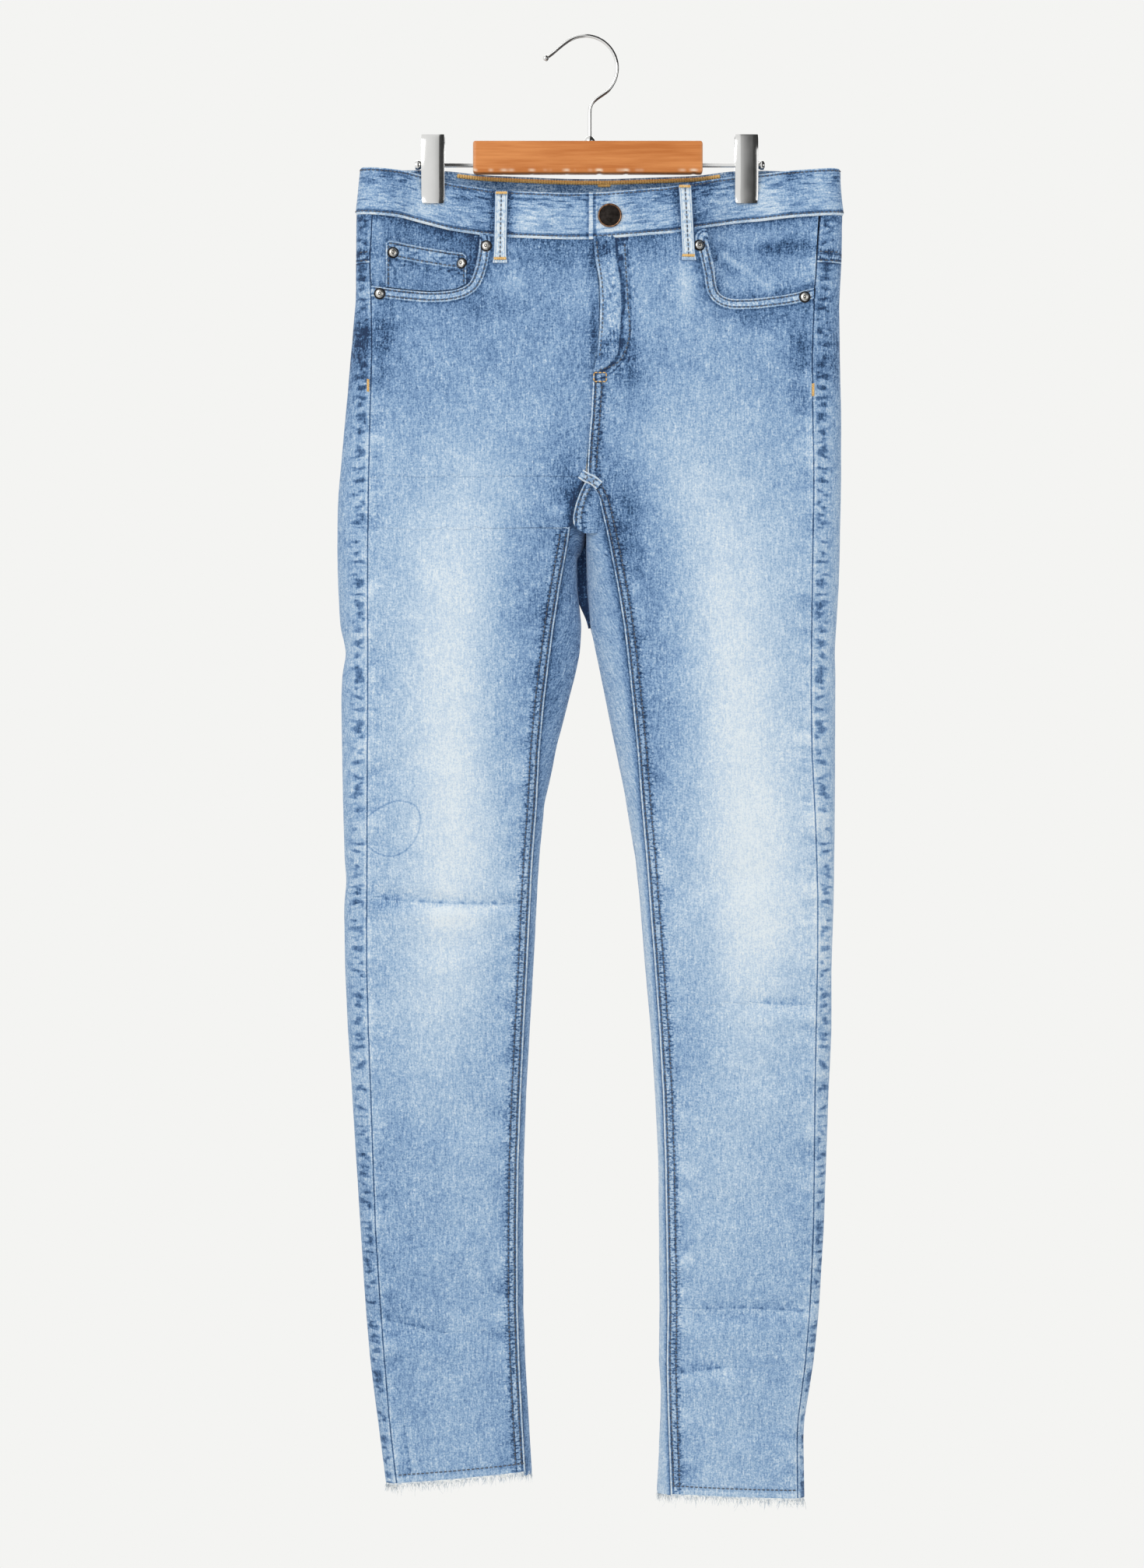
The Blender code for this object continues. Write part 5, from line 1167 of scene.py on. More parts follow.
ripple = 0.22 * band_ripple(gone)[:, None] * np.exp(-((drops - 32) / 4.0) ** 2)[None, :]
ripple = (ripple + 0.18 * band_ripple(gone + 31)[:, None]
          * np.exp(-((drops - 3.5) / 4.0) ** 2)[None, :])
swell = 0.35 * band_ripple_2(gone)[:, None] * np.sin(math.pi * drops / BAND_HEIGHT)[None, :]
band_face = band_points + band_out * (BAND_PROUD + edge_in[None, :] + ripple + swell)[..., None]
under = []
for reach in (BAND_UNDERLAP, 12.0, 4.0):
    column = band_face[0].copy()
    column[:, 0] += reach
    column[:, 1] += BAND_STEP
    under.append(column)
dip = np.where(np.arange(len(gone)) < 14, step_up(4.5 - gone, 0, 6.0), 0.0)
band_face[:14, :, 1] += (dip[:14] * BAND_STEP)[:, None]
end_roll = step_up(5.0 - (gone[-1] - gone), 0.0, 5.0)
band_face[-8:, :, 1] -= (0.9 * end_roll[-8:])[:, None]
band_face = np.concatenate((np.array(under), band_face))
band_gone = np.concatenate((gone[0] - np.array((BAND_UNDERLAP, 12.0, 4.0)), gone))
tone = 0.53 + 0.07 * band_ripple_2(band_gone)[:, None] + 0.08 * (2 * drops / BAND_HEIGHT - 1)
for x, height in ((-64.0, 0.34), (-43.5, 0.26), (64.0, 0.28), (88.0, 0.26), (-150.0, 0.14),
                  (150.0, 0.16), (30.0, 0.12)):
    beside = np.abs(band_face[..., 0] - x)
    spot = np.exp(-(beside / 5.0) ** 2) * np.exp(-((drops - 6) / 6.0) ** 2)[None, :]
    tone = tone - np.where(band_face[..., 1] < 0, height * spot, 0.0)
# Painted shadow on the band at both sides of the two front loops.
for x in (-66.4, 71.5):
    beside = np.abs(np.abs(band_face[..., 0] - x) - 6.2)
    tone = tone - np.where(band_face[..., 1] < 0, 0.36 * np.exp(-(beside / 2.6) ** 2), 0.0)
tone = tone + 0.10 * (np.abs(band_face[..., 0]) > 120) * (band_face[..., 1] < 0)
to_end = band_face[..., 0] - BAND_END
on_left = (band_gone > gone[-1] * 0.9)[:, None]
on_right = ((band_gone < 30) & (band_gone > -3))[:, None]
lap = np.where(on_left | on_right, to_end, FAR)
cut = np.stack((-drops[None, :] + 0 * tone, band_gone[:, None] + 0 * tone, 0 * tone + 300),
               axis=-1).reshape(-1, 3)
band_ways = np.concatenate((np.repeat(band_out[:1], 3, axis=0), band_out))
# The band's inner face is painted 0.30 darker, as shade inside the waist.
waistband = add_cloth("waist_strip", band_face.reshape(-1, 3), grid_faces(tone), BAND_WALL,
                      band_ways.reshape(-1, 3), cut, tone, BAND_DENIM,
                      [("drop", drops[None, :] + 0 * tone, band_gone[:, None] + 0 * tone),
                       ("lap", lap, drops[None, :] + 0 * tone)], inside=-0.30)
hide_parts("waistband")

# ------------------------------------------------------------------------------ belt loops
# Narrow folded strips, tacked down at the waistband's top edge and below it, with one row of
# stitches down the middle and the ends spread and pressed flat.

LOOP_HALF_WIDTH = 4.8
LOOP_WALL = 1.5
LOOP_BOW = 1.5
LOOPS = (
    ("front_right", RIGHT, "front", 66.4, -172.6), ("front_left", LEFT, "front", 71.5, -170.3),
    ("back_right", RIGHT, "back", 82.0, -158.0), ("back_left", LEFT, "back", 82.0, -158.0),
    ("back_middle", LEFT, "back", 0.0, -161.0),
)
# The dark tone at the loops' edges is painted shade at their sides.
LOOP_DENIM = denim_material("stone_washed_loop", (marked_seam("rim", 2.0, 2.6,
    (-0.2, -0.75, 0, 0.5), (0.35, -0.6, 0.1, 0.8), (0.7, 0.16, 0.2, 1), (1.1, 0.08, 0.3, 0.9),
    (1.5, -0.26, 0.3, 0.4), (2.0, 0.04, 0.4, 0.8), (4.0, 0.0, 0.5, 0.7), (4.6, -0.22, 0.3, 0.3),
    (6, -0.2, 0, 0.3)),))
loop_rows = []
for name, side, face, middle, foot_z in LOOPS:
    top = float(BAND_TOP[face](side.sign * middle))
    band_low = top - BAND_HEIGHT
    z = np.concatenate((np.linspace(top - 1.2, top - 4, 5), np.linspace(top - 6, foot_z + 6, 22),
                        np.linspace(foot_z + 4.5, foot_z, 7)))[:, None]
    over = np.array((-1.0, -0.9, -0.72, -0.4, 0.0, 0.4, 0.72, 0.9, 1.0))[None, :]
    flare = 1 + 0.22 * np.exp(-((z - foot_z) / 5.0) ** 2) + 0.05 * np.exp(-((z - top) / 5.0) ** 2)
    lean = {"front_right": 0.02, "front_left": -0.05}.get(name, 0.0) * (top - z)
    across = middle + lean * side.sign * -1 + over * LOOP_HALF_WIDTH * flare
    band_level = side.half_depth(face, across, z + 0 * across) + BAND_PROUD
    panel_level = side.half_depth(face, across, z + 0 * across)
    level = mix(panel_level, band_level, step_up(z, band_low - 3.5, band_low + 0.5))
    bow = LOOP_BOW * np.sin(math.pi * np.clip((top - 3 - z) / (top - 3 - band_low), 0, 1))
    held = np.exp(-((z - (foot_z + 2.5)) / 2.4) ** 2) + np.exp(-((z - (top - 3.0)) / 2.0) ** 2)
    depth = (level + LOOP_WALL + 0.5 + bow - 0.45 * held - 0.5 * (np.abs(over) > 0.95)
             + 0.25 * np.exp(-((np.abs(over) - 0.72) / 0.2) ** 2)
             - 0.2 * np.exp(-(over / 0.2) ** 2))
    points = np.stack((across, depth if face == "back" else -depth, z + 0 * across), axis=-1)
    tone = 0.80 + 0.07 * band_ripple(z * 9 + middle * 3) - 0.12 * held + 0 * over
    cut = np.stack((across, z + 0 * across, 0 * across + 500 + middle), axis=-1).reshape(-1, 3)
    made = add_cloth(f"loop_{name}", side.world(points.reshape(-1, 3)), grid_faces(across),
                     LOOP_WALL, (0, -1 if face == "front" else 1, 0), cut, tone, LOOP_DENIM,
                     [("rim", (1 - np.abs(over)) * LOOP_HALF_WIDTH + 0 * z, z + 0 * over)])
    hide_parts(f"belt_loop_{name}")
    centre = side.world(points[:, 4])
    loop_rows.append((name, side, face, centre, points, z))

# ------------------------------------------------------------------------ the crotch's seam
# The back rise is felled, and its end hangs between the legs as a short lobe. A small tab covers
# the place where the four seams meet. A fold of the back, painted near black as shade, fills the
# slit behind them, as the front shows it; from behind, the slit's top stays open.

Lobe = namedtuple("Lobe", "z left right")
LOBE = table(Lobe,
    (-337.2, -3.4, 2.6), (-341.9, -5.8, 4.4), (-347.7, -8.4, 6.4), (-353.6, -10.5, 8.2),
    (-359.5, -11.9, 9.6), (-364.2, -12.8, 10.6), (-368.9, -12.4, 11.4), (-372.5, -10.4, 11.6),
    (-374.8, -6.8, 9.5), (-376.0, -2.6, 5.0))
LOBE_LEFT = rounded([(row.z, row.left) for row in LOBE], 1.2)
LOBE_RIGHT = rounded([(row.z, row.right) for row in LOBE], 1.2)
TAB = ((-7.0, -331.8), (-2.6, -334.6), (2.4, -336.8), (7.0, -340.6))
TAB_HALF_WIDTH = 3.7
RISE_DENIM = denim_material("stone_washed_rise", (INSEAM,))


def crotch_depth(z):
    """How far forward the legs stand beside the crotch."""
    ahead = [side.half_depth("front", side.inseam(z) + 4.0, z) for side in SIDES]
    return (ahead[0] + ahead[1]) / 2


z = np.linspace(-336.0, -376.0, 34)[:, None]
over = np.array((0.0, 0.04, 0.1, 0.2, 0.32, 0.45, 0.6, 0.75, 0.9, 1.0))[None, :]
across = mix(LOBE_LEFT(z), LOBE_RIGHT(z), over)
left_edge = [(row.left, row.z) for row in LOBE[:7]] + [(-11.8, -380.0)]
from_left, _ = to_polyline(across, z + 0 * over, left_edge)
bulge = 1.7 * np.sqrt(np.clip(from_left / 3.0, 0, 1)) - 1.3 * step_up(over, 0.5, 1.0)
lobe_y = -(crotch_depth(z) + bulge - 0.6 * np.exp(-((from_left - 7.6) / 1.5) ** 2))
grid = np.stack((across, lobe_y, z + 0 * over), axis=-1)
# Darker towards the right edge, where the lobe tucks under the left leg, as painted shade.
tone = 0.50 - 0.20 * np.exp(-((over - 1.0) / 0.3) ** 2) + 0 * z
lobe = add_cloth("rise_seam_lobe", grid.reshape(-1, 3), grid_faces(grid), 1.1, (0, -1, 0),
                 grid[..., (0, 2, 1)].reshape(-1, 3), tone, RISE_DENIM,
                 [("edge", from_left + 0 * z, z + 0 * over)])

spine = smooth_polyline(TAB, 18)
over = np.array((-1.0, -0.92, -0.7, -0.35, 0.0, 0.35, 0.7, 0.92, 1.0))
way = unit(np.gradient(spine, axis=0))
across = spine[:, :1] - way[:, 1:] * over * TAB_HALF_WIDTH
z = spine[:, 1:] + way[:, :1] * over * TAB_HALF_WIDTH
tab_y = -(crotch_depth(z) + 2.6 - 0.9 * over ** 4 + 0.25 * np.sin(spine[:, :1] * 2.1))
grid = np.stack((across, tab_y, z), axis=-1)
tone = 0.78 - 0.24 * np.exp(-(np.abs(over) - 0.4) ** 2 / 0.02) * np.sin(spine[:, :1] * 1.3) ** 2
tab = add_cloth("crotch_seam_tab", grid.reshape(-1, 3), grid_faces(grid), 1.1, (0, -1, 0),
                grid[..., (0, 2, 1)].reshape(-1, 3), tone, PATCH_DENIM,
                [("rim", (1 - np.abs(over)) * TAB_HALF_WIDTH + 0 * z, z),
                 ("fold", np.full(z.shape, FAR), z)])

# The fold is painted at the darkest tone, as shade in the slit.
z = np.linspace(-338.0, -446.0, 44)[:, None]
over = np.linspace(0, 1, 7)[None, :]
left, right = -RIGHT.inner(z) - 0.5, LEFT.inner(z) + 0.5
left = mix(right - 0.6, left, 1 - step_up(-z, 422.0, 446.0))
grid = np.stack((mix(left, right, over), 3.0 - 1.2 * (2 * over - 1) ** 2 + 0 * z, z + 0 * over),
                axis=-1)
back_fold = add_cloth("crotch_back_fold", grid.reshape(-1, 3), grid_faces(grid), 1.0, (0, -1, 0),
                      grid[..., (0, 2, 1)].reshape(-1, 3), -0.16 + 0 * grid[..., 0], RISE_DENIM,
                      [("edge", np.full(grid.shape[:2], FAR), z + 0 * over)], inside=0.0)

# ------------------------------------------------------------------------------- topstitching
# Polyester core thread that the wash has dulled to a cool grey: about eight stitches to the inch,
# each drawn as its own short raised piece of thread.

THREAD_PITCH = 3.3
THREAD_LENGTH = 2.5
THREAD_WIDTH = 0.42


def thread_material(name, colour, dark):
    made = new_material(name)
    place = node(made, "TexCoord").outputs["Object"]
    noise = node(made, "TexNoise", {"Vector": place, "Scale": 900.0, "Detail": 2.0})
    ramp = node(made, "ValToRGB", {"Fac": noise.outputs["Fac"]})
    fill_ramp(ramp, ((0.3, linear(dark)), (0.7, linear(colour))))
    bump = node(made, "Bump", {"Height": noise.outputs["Fac"], "Strength": 0.4, "Distance": 0.0002})
    return finish_shader(made, 0.55, ramp.outputs["Color"], bump.outputs["Normal"],
                         **{"Sheen Weight": 0.2})


# Spun thread is matt with a slight sheen, and its tone changes about once a millimetre, as its
# plies turn
FADED_THREAD = thread_material("faded_core_thread", "#646973", "#343943")
GOLD_THREAD = thread_material("gold_core_thread", "#f2cc84", "#d09c4c")


def cloth_line(side, face, pairs, lift=0.15, count=None):
    """World points and outward directions along a row drawn on the cloth."""
    length = sum(math.hypot(b[0] - a[0], b[1] - a[1]) for a, b in zip(pairs[:-1], pairs[1:]))
    line = smooth_polyline(pairs, count or max(8, int(length / 1.2)))
    across, z = line[:, 0], line[:, 1]
    points = side.place(face, across, z, lift=lift)
    east = side.place(face, across + 1, z) - side.place(face, across - 1, z)
    north = side.place(face, across, z + 1) - side.place(face, across, z - 1)
    out = unit(np.cross(east, north))
    wanted = 1 if face == "back" else -1
    out *= np.sign(out[:, 1:2]) * wanted
    return side.world(points), side.world(out)


def sew(name, lines, look, pitch=THREAD_PITCH, length=THREAD_LENGTH, width=THREAD_WIDTH):
    """Rows of single stitches as one mesh. Each line is its points and outward directions."""
    verts, quads = [], []
    ring = np.array(((-1, 0), (-0.5, 0.8), (0.5, 0.8), (1, 0), (0, -0.7)))
    along_share = np.array((-0.5, -0.3, 0.3, 0.5))
    swell = np.array((0.4, 1.0, 1.0, 0.4))
    sink = np.array((-0.25, 0.1, 0.1, -0.25))
    sides = len(ring)
    pattern = [[r * sides + k, r * sides + (k + 1) % sides, (r + 1) * sides + (k + 1) % sides,
                (r + 1) * sides + k] for r in range(3) for k in range(sides)]
    caps = [list(range(sides))[::-1], [3 * sides + k for k in range(sides)]]
    for points, out in lines:
        gone = run_along(points)
        count = int((gone[-1] - length * 0.5) / pitch)
        centres = (np.arange(max(count, 1)) + 0.5) * gone[-1] / max(count, 1)
        spot = points_at(centres, gone, points)
        way = unit(points_at(centres + length / 2, gone, points)
                   - points_at(centres - length / 2, gone, points))
        up = points_at(centres, gone, out)
        beside = unit(np.cross(way, up))
        for n in range(len(centres)):
            base = len(verts)
            for a, s, h in zip(along_share, swell, sink):
                for u, v in ring:
                    verts.append(spot[n] + way[n] * a * length + beside[n] * u * width * s
                                 + up[n] * (v * width * 0.8 * s + h))
            quads += [[base + k for k in quad] for quad in pattern + caps]
    made = add_mesh(name, np.array(verts), quads, look, smooth_angle=70)
    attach(made, "root")
    print(name, len(verts), "points", len(quads) * 2, "triangles")


rows = []
for side in SIDES:
    down = [*range(-338 if side is LEFT else -376, -1080, -8), float(side.hem(60)) + 6]
    for offset in (2.4, 6.9):
        rows.append(cloth_line(side, "front", [(float(side.inseam(z)) + offset, z) for z in down],
                               lift=0.25))
    mouth = smooth_polyline(side.mouth, 40)
    way = unit(np.gradient(mouth, axis=0))
    outward = np.stack((way[:, 1], -way[:, 0]), axis=1)
    if outward[0, 0] > 0:
        outward = -outward
    for offset in (1.5, 6.2):
        line = [tuple(p) for p in mouth + outward * offset]
        line = [p for p in line if p[1] < float(band_foot(side, "front", p[0])) - 2.0
                and p[0] < float(side.side_seam(p[1])) - 0.5]
        rows.append(cloth_line(side, "front", line, lift=0.85))
    ends = float(side.inseam(-1090)) + 1, float(side.side_seam(-1090)) - 1
    hem_line = [(float(x), float(side.hem(x)) + 6.0) for x in np.linspace(*ends, 12)]
    rows.append(cloth_line(side, "front", hem_line, lift=0.2))
    ends = float(side.side_seam(-170)) + 1, float(side.outer(-170)) - 2.5
    yoke = [(float(x), YOKE_SIDE_Z + 1.6) for x in np.linspace(*ends, 5)]
    for offset in (0, 6.6):
        rows.append(cloth_line(side, "front", [(x, z + offset) for x, z in yoke], lift=0.2))
    for offset in (1.6, 8.2):
        line = []
        for share in np.linspace(0.02, 0.985, 14):
            x = mix(float(side.outer(-190)) - 7, float(side.back_edge(-213)) + 1, share)
            line.append((x, mix(YOKE_SIDE_Z, YOKE_BACK_Z, share) + offset))
        rows.append(cloth_line(side, "back", line, lift=0.2))
    for inset in (2.0, 8.0):
        x0, x1 = POCKET_HALF_WIDTHS[0] - inset, POCKET_HALF_WIDTHS[1] - inset
        foot = POCKET_Z[1] + inset * 0.9
        path = [(POCKET_X - x0, POCKET_Z[0] - 2), (POCKET_X - x1, foot),
                (POCKET_X, POCKET_POINT + inset * 1.1), (POCKET_X + x1, foot),
                (POCKET_X + x0, POCKET_Z[0] - 2)]
        fine = []
        for a, b in zip(path[:-1], path[1:]):
            fine += [(mix(a[0], b[0], s), mix(a[1], b[1], s)) for s in np.linspace(0, 1, 8)[:-1]]
        rows.append(cloth_line(side, "back", fine + [path[-1]], lift=1.9))
    for drop in (POCKET_HEM - 1.5, POCKET_HEM - 5.0):
        half = float(pocket_edge(0.15)) - 1.5
        line = [(POCKET_X + s * half, POCKET_Z[0] - drop) for s in (-1, -0.5, 0, 0.5, 1)]
        rows.append(cloth_line(side, "back", line, lift=2.2))
rise = [(float(LEFT.back_edge(z)) + 2.6, z) for z in range(-146, -345, -12)]
rows.append(cloth_line(LEFT, "back", rise, lift=0.5))
rows.append(cloth_line(LEFT, "back", [(x + 5.5, z) for x, z in rise], lift=0.5))
for drop in (1.8, COIN_HEM - 1.6):
    line = [(x, float(coin_top(np.array(x))) - drop)
            for x in np.linspace(COIN_X[1] + 2, COIN_X[0] - 2, 10)]
    rows.append(cloth_line(RIGHT, "front", line, lift=0.6))
for x0 in (COIN_X[0] - 2.0, COIN_X[1] + 2.0):
    foot = float(np.interp(x0, RIGHT.mouth[2:, 0], RIGHT.mouth[2:, 1])) + 2
    line = [(x0, z) for z in np.linspace(float(coin_top(np.array(x0))) - 3, foot, 5)]
    rows.append(cloth_line(RIGHT, "front", line, lift=0.3))
centre = [(float(LEFT.front_edge(z)) + 2.4, z) for z in range(-262, -334, -6)]
rows.append(cloth_line(LEFT, "front", centre, lift=0.5))
rows.append(cloth_line(LEFT, "front", [(x + 4.3, z) for x, z in centre], lift=0.5))
J_STITCH = ((26.0, -158.0), (27.2, -180.0), (28.6, -203.0), (29.6, -218.0), (29.4, -229.0),
            (25.4, -242.0), (18.4, -250.0), (6.4, -254.0))
rows.append(cloth_line(LEFT, "front", J_STITCH, lift=0.7))
fly_edge = [(float(LEFT.front_edge(z)) + 2.2, z) for z in range(-156, -250, -8)]
rows.append(cloth_line(LEFT, "front", fly_edge, lift=1.5))
for inset in (2.3, 6.0):
    lobe_z = np.linspace(-342.0, -369.0 + inset * 0.5, 24)
    line = np.stack((LOBE_LEFT(lobe_z) + inset, -crotch_depth(lobe_z) - 1.9, lobe_z), axis=-1)
    rows.append((line, np.tile((0.0, -1.0, 0.0), (24, 1))))
for start, end in (((-5.6, -334.8), (5.2, -341.4)), ((-5.0, -331.2), (6.6, -337.4)),
                   ((-1.2, -332.2), (-3.2, -337.4)), ((3.6, -334.8), (1.8, -340.4))):
    line = np.array([(mix(start[0], end[0], s), 0, mix(start[1], end[1], s))
                     for s in np.linspace(0, 1, 6)])
    line[:, 1] = -crotch_depth(line[:, 2]) - 2.9
    rows.append((line, np.tile((0.0, -1.0, 0.0), (6, 1))))
sew("topstitching", rows, FADED_THREAD)

band_rows = []
for level in (3, 14):
    line = band_face[3:, level]
    normals = band_out[:, level]
    band_rows.append((line[3:-1] + normals[3:-1] * 0.15, normals[3:-1]))
sew("waist_stitching", band_rows, FADED_THREAD)
loop_lines = []
for name, side, face, centre, points, z in loop_rows:
    out = np.tile(np.array((0.0, 1.0 if face == "back" else -1.0, 0.0)), (len(centre), 1))
    loop_lines.append((centre[3:-4] + out[3:-4] * 0.12, out[3:-4]))
sew("loop_stitching", loop_lines, FADED_THREAD)
inside = mix(band_face[3:, 3], band_face[3:, 4], 0.5) - band_out[:, 3] * (BAND_WALL + 0.5)
back_part = [n for n in range(len(inside)) if inside[n, 1] > 2.0 and abs(inside[n, 0]) < 110]
chain = [(inside[back_part], -band_out[back_part, 3])]
sew("waist_chain_stitching", chain, GOLD_THREAD, pitch=2.0, length=2.3, width=1.6)

# ------------------------------------------------------------------------------- bartacks
# Close zigzag blocks of gold thread where the cloth is pulled hardest.

Tack = namedtuple("Tack", "side x z half_width half_height lift")
TACKS = table(Tack,
    (RIGHT, 166.8, -264.0, 1.1, 4.6, 0.5), (LEFT, 167.8, -267.5, 1.1, 4.6, 0.5),
    (LEFT, 7.6, -259.4, 4.6, 3.4, 0.9), (RIGHT, 66.4, -119.6, 4.2, 1.2, 4.2),
    (RIGHT, 67.4, -169.4, 4.6, 1.2, 2.2), (LEFT, 71.3, -114.6, 4.2, 1.2, 4.2),
    (LEFT, 74.0, -167.0, 4.6, 1.2, 2.2))


def tack_line(tack, count):
    """A zigzag of thread across a bartack, as points and outward directions."""
    tall = tack.half_height > tack.half_width
    line = []
    for n in range(count):
        run = mix(-1.0, 1.0, n / (count - 1))
        swing = 1 if n % 2 else -1
        if tall:
            line.append((tack.x + swing * tack.half_width, tack.z + run * tack.half_height))
        else:
            line.append((tack.x + run * tack.half_width, tack.z + swing * tack.half_height))
    return line


tack_rows = []
for tack in TACKS:
    if tack.half_width > 4 and tack.half_height > 3:
        box = [(-1, -1), (1, -1), (1, 1), (-1, 1), (-1, -1)]
        for a, b in zip(box[:-1], box[1:]):
            pair = [(tack.x + mix(a[0], b[0], s) * tack.half_width,
                     tack.z + mix(a[1], b[1], s) * tack.half_height) for s in (0, 0.5, 1)]
            tack_rows.append(cloth_line(tack.side, "front", pair, lift=tack.lift, count=6))
        continue
    longest = max(tack.half_width, tack.half_height)
    zigzag = tack_line(tack, int(longest * 2 / 0.62))
    for a, b in zip(zigzag[:-1], zigzag[1:]):
        tack_rows.append(cloth_line(tack.side, "front", [a, b], lift=tack.lift, count=3))
hang = mix(band_face[3:, 4], band_face[3:, 5], 0.6) - band_out[:, 4] * (BAND_WALL + 0.7)
tacked = [n for n in back_part if abs(hang[n, 0] - 11.0) < 25]
order = sorted(tacked, key=lambda n: hang[n, 0])
zigzag = np.array([(mix(6.4, 15.6, n / 16), 0.0, 1.3 * (-1) ** n) for n in range(17)])
zigzag[:, 1] = np.interp(zigzag[:, 0], hang[order, 0], hang[order, 1])
zigzag[:, 2] += np.interp(zigzag[:, 0], hang[order, 0], hang[order, 2])
for a, b in zip(zigzag[:-1], zigzag[1:]):
    tack_rows.append((np.array((a, (a + b) / 2, b)), np.tile((0.0, -1.0, 0.0), (3, 1))))
sew("gold_bartacks", tack_rows, GOLD_THREAD, pitch=2.6, length=2.4, width=0.42)

# ---------------------------------------------------------------------------- frayed hems
# The hem was cut off and washed: the weft has come loose as a fringe of short pale threads under
# a narrow edge of opened weave.

FIBRES = 620
FIBRE_LENGTHS = (2.5, 7.5)
FRAY_DEPTH = 2.4


# Undyed cotton weft is matt and nearly white, with bluer places where warp fluff clings to it
def frayed_material():
    made = new_material("frayed_cotton_weft")
    place = node(made, "TexCoord").outputs["Object"]
    noise = node(made, "TexNoise", {"Vector": place, "Scale": 420.0, "Detail": 2.0})
    ramp = node(made, "ValToRGB", {"Fac": noise.outputs["Fac"]})
    fill_ramp(ramp, ((0.36, linear("#b4c2cf")), (0.62, linear("#eceeec"))))
    return finish_shader(made, 0.95, ramp.outputs["Color"], **{"Sheen Weight": 0.3})


FRAYED_COTTON = frayed_material()


def hem_ring(side):
    """The leg's lower edge as a closed line of world points, from the inseam round."""
    z_mean = float(side.hem(110.0))
    seam, inseam = float(side.side_seam(z_mean)), float(side.inseam(z_mean))
    outer, inner = float(side.outer(z_mean)), float(side.inner(z_mean))
    turn = eased(60)
    parts = [("front", mix(inseam, seam, np.linspace(0, 1, 60))), ("front", mix(seam, outer, turn)),
             ("back", mix(outer, inner, turn)), ("front", mix(inner, inseam, turn))]
    line = [side.place(face, across, side.hem(across)) for face, across in parts]
    return side.world(np.concatenate(line))


for side in SIDES:
    rng = np.random.default_rng(5 if side is RIGHT else 8)
    ring = hem_ring(side)
    gone = run_along(ring)
    keep = np.concatenate(([True], np.diff(gone) > 1e-6))
    ring, gone = ring[keep], gone[keep]
    faces = []
    count = 260
    at = np.linspace(0, gone[-1], count, endpoint=False)
    spots = points_at(at, gone, ring)
    ahead = np.roll(spots, -1, axis=0) - np.roll(spots, 1, axis=0)
    out = unit(np.stack((ahead[:, 1], -ahead[:, 0], 0 * ahead[:, 0]), axis=1))
    middle = ring.mean(axis=0)
    if float(((spots - middle) * out).sum()) < 0:
        out = -out
    ragged = 0.5 * rng.normal(size=count)
    outer_top = spots - out * 0.2 + (0, 0, 0.1)
    outer_low = spots - out * 0.25 - np.stack((0 * at, 0 * at, FRAY_DEPTH * 0.5 + 0.4 * ragged), 1)
    inner_low = spots - out * 0.95 - np.stack((0 * at, 0 * at, FRAY_DEPTH * 0.5 + 0.4 * ragged), 1)
    inner_top = spots - out * 1.1 + (0, 0, 0.1)
    verts = list(outer_top) + list(outer_low) + list(inner_low) + list(inner_top)
    for n in range(count):
        m = (n + 1) % count
        for r in range(4):
            s = (r + 1) % 4
            faces.append([r * count + n, r * count + m, s * count + m, s * count + n])
    for n in range(FIBRES):
        place = rng.uniform(0, gone[-1])
        root = points_at([place], gone, ring)[0]
        k = int(place / gone[-1] * count) % count
        run = np.cross(out[k], (0, 0, 1.0))
        length = rng.uniform(*FIBRE_LENGTHS) * (1.5 if rng.random() < 0.08 else 1.0)
        root = root - out[k] * rng.uniform(0.2, 1.0) + (0, 0, -0.4)
        tip = root + run * rng.normal(0, 0.28) * length + out[k] * rng.normal(0.1, 0.3) * 2.0
        tip[2] -= length
        bend = (root + tip) / 2 + run * rng.normal(0, 0.12) * length
        radius = rng.uniform(0.16, 0.34)
        base = len(verts)
        for centre, thick in ((root, 1.0), (bend, 0.8), (tip, 0.25)):
            for turn in range(3):
                angle = turn * 2 * math.pi / 3
                round_it = run * math.cos(angle) + out[k] * math.sin(angle)
                verts.append(centre + radius * thick * round_it)
        faces += [[base + corner for corner in quad] for quad in tube_faces(3, 3)]
        faces.append([base + 2, base + 1, base])
        faces.append([base + 6, base + 7, base + 8])
    fray = add_mesh(f"hem_fray_{side.name}", np.array(verts), faces, FRAYED_COTTON)
    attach(fray, "root")
    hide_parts(f"fringe_{side.name}")

# ------------------------------------------------------------------------- button and rivets
# A shank button with an antiqued copper rim round a dark oxidised face, and six small domed
# rivets with worn nickel plate.


def metal_material(name, colour, dark, roughness):
    made = new_material(name)
    place = node(made, "TexCoord").outputs["Object"]
    noise = node(made, "TexNoise", {"Vector": place, "Scale": 400.0, "Detail": 4.0})
    ramp = node(made, "ValToRGB", {"Fac": noise.outputs["Fac"]})
    fill_ramp(ramp, ((0.35, linear(dark)), (0.65, linear(colour))))
    bump = node(made, "Bump", {"Height": noise.outputs["Fac"], "Strength": 0.15,
                               "Distance": 0.0003})
    return finish_shader(made, roughness, ramp.outputs["Color"], bump.outputs["Normal"],
                         Metallic=1.0)


# Antiquing leaves copper plate satin and darker in its hollows, the oxidised face nearly black,
# and the nickel plate of the rivets bright but scuffed
COPPER = metal_material("antiqued_copper", "#b98f70", "#6f4f3a", 0.36)
OXIDE = metal_material("oxidised_face", "#383330", "#25211f", 0.5)
NICKEL = metal_material("worn_nickel", "#e2e0da", "#a8a49c", 0.36)


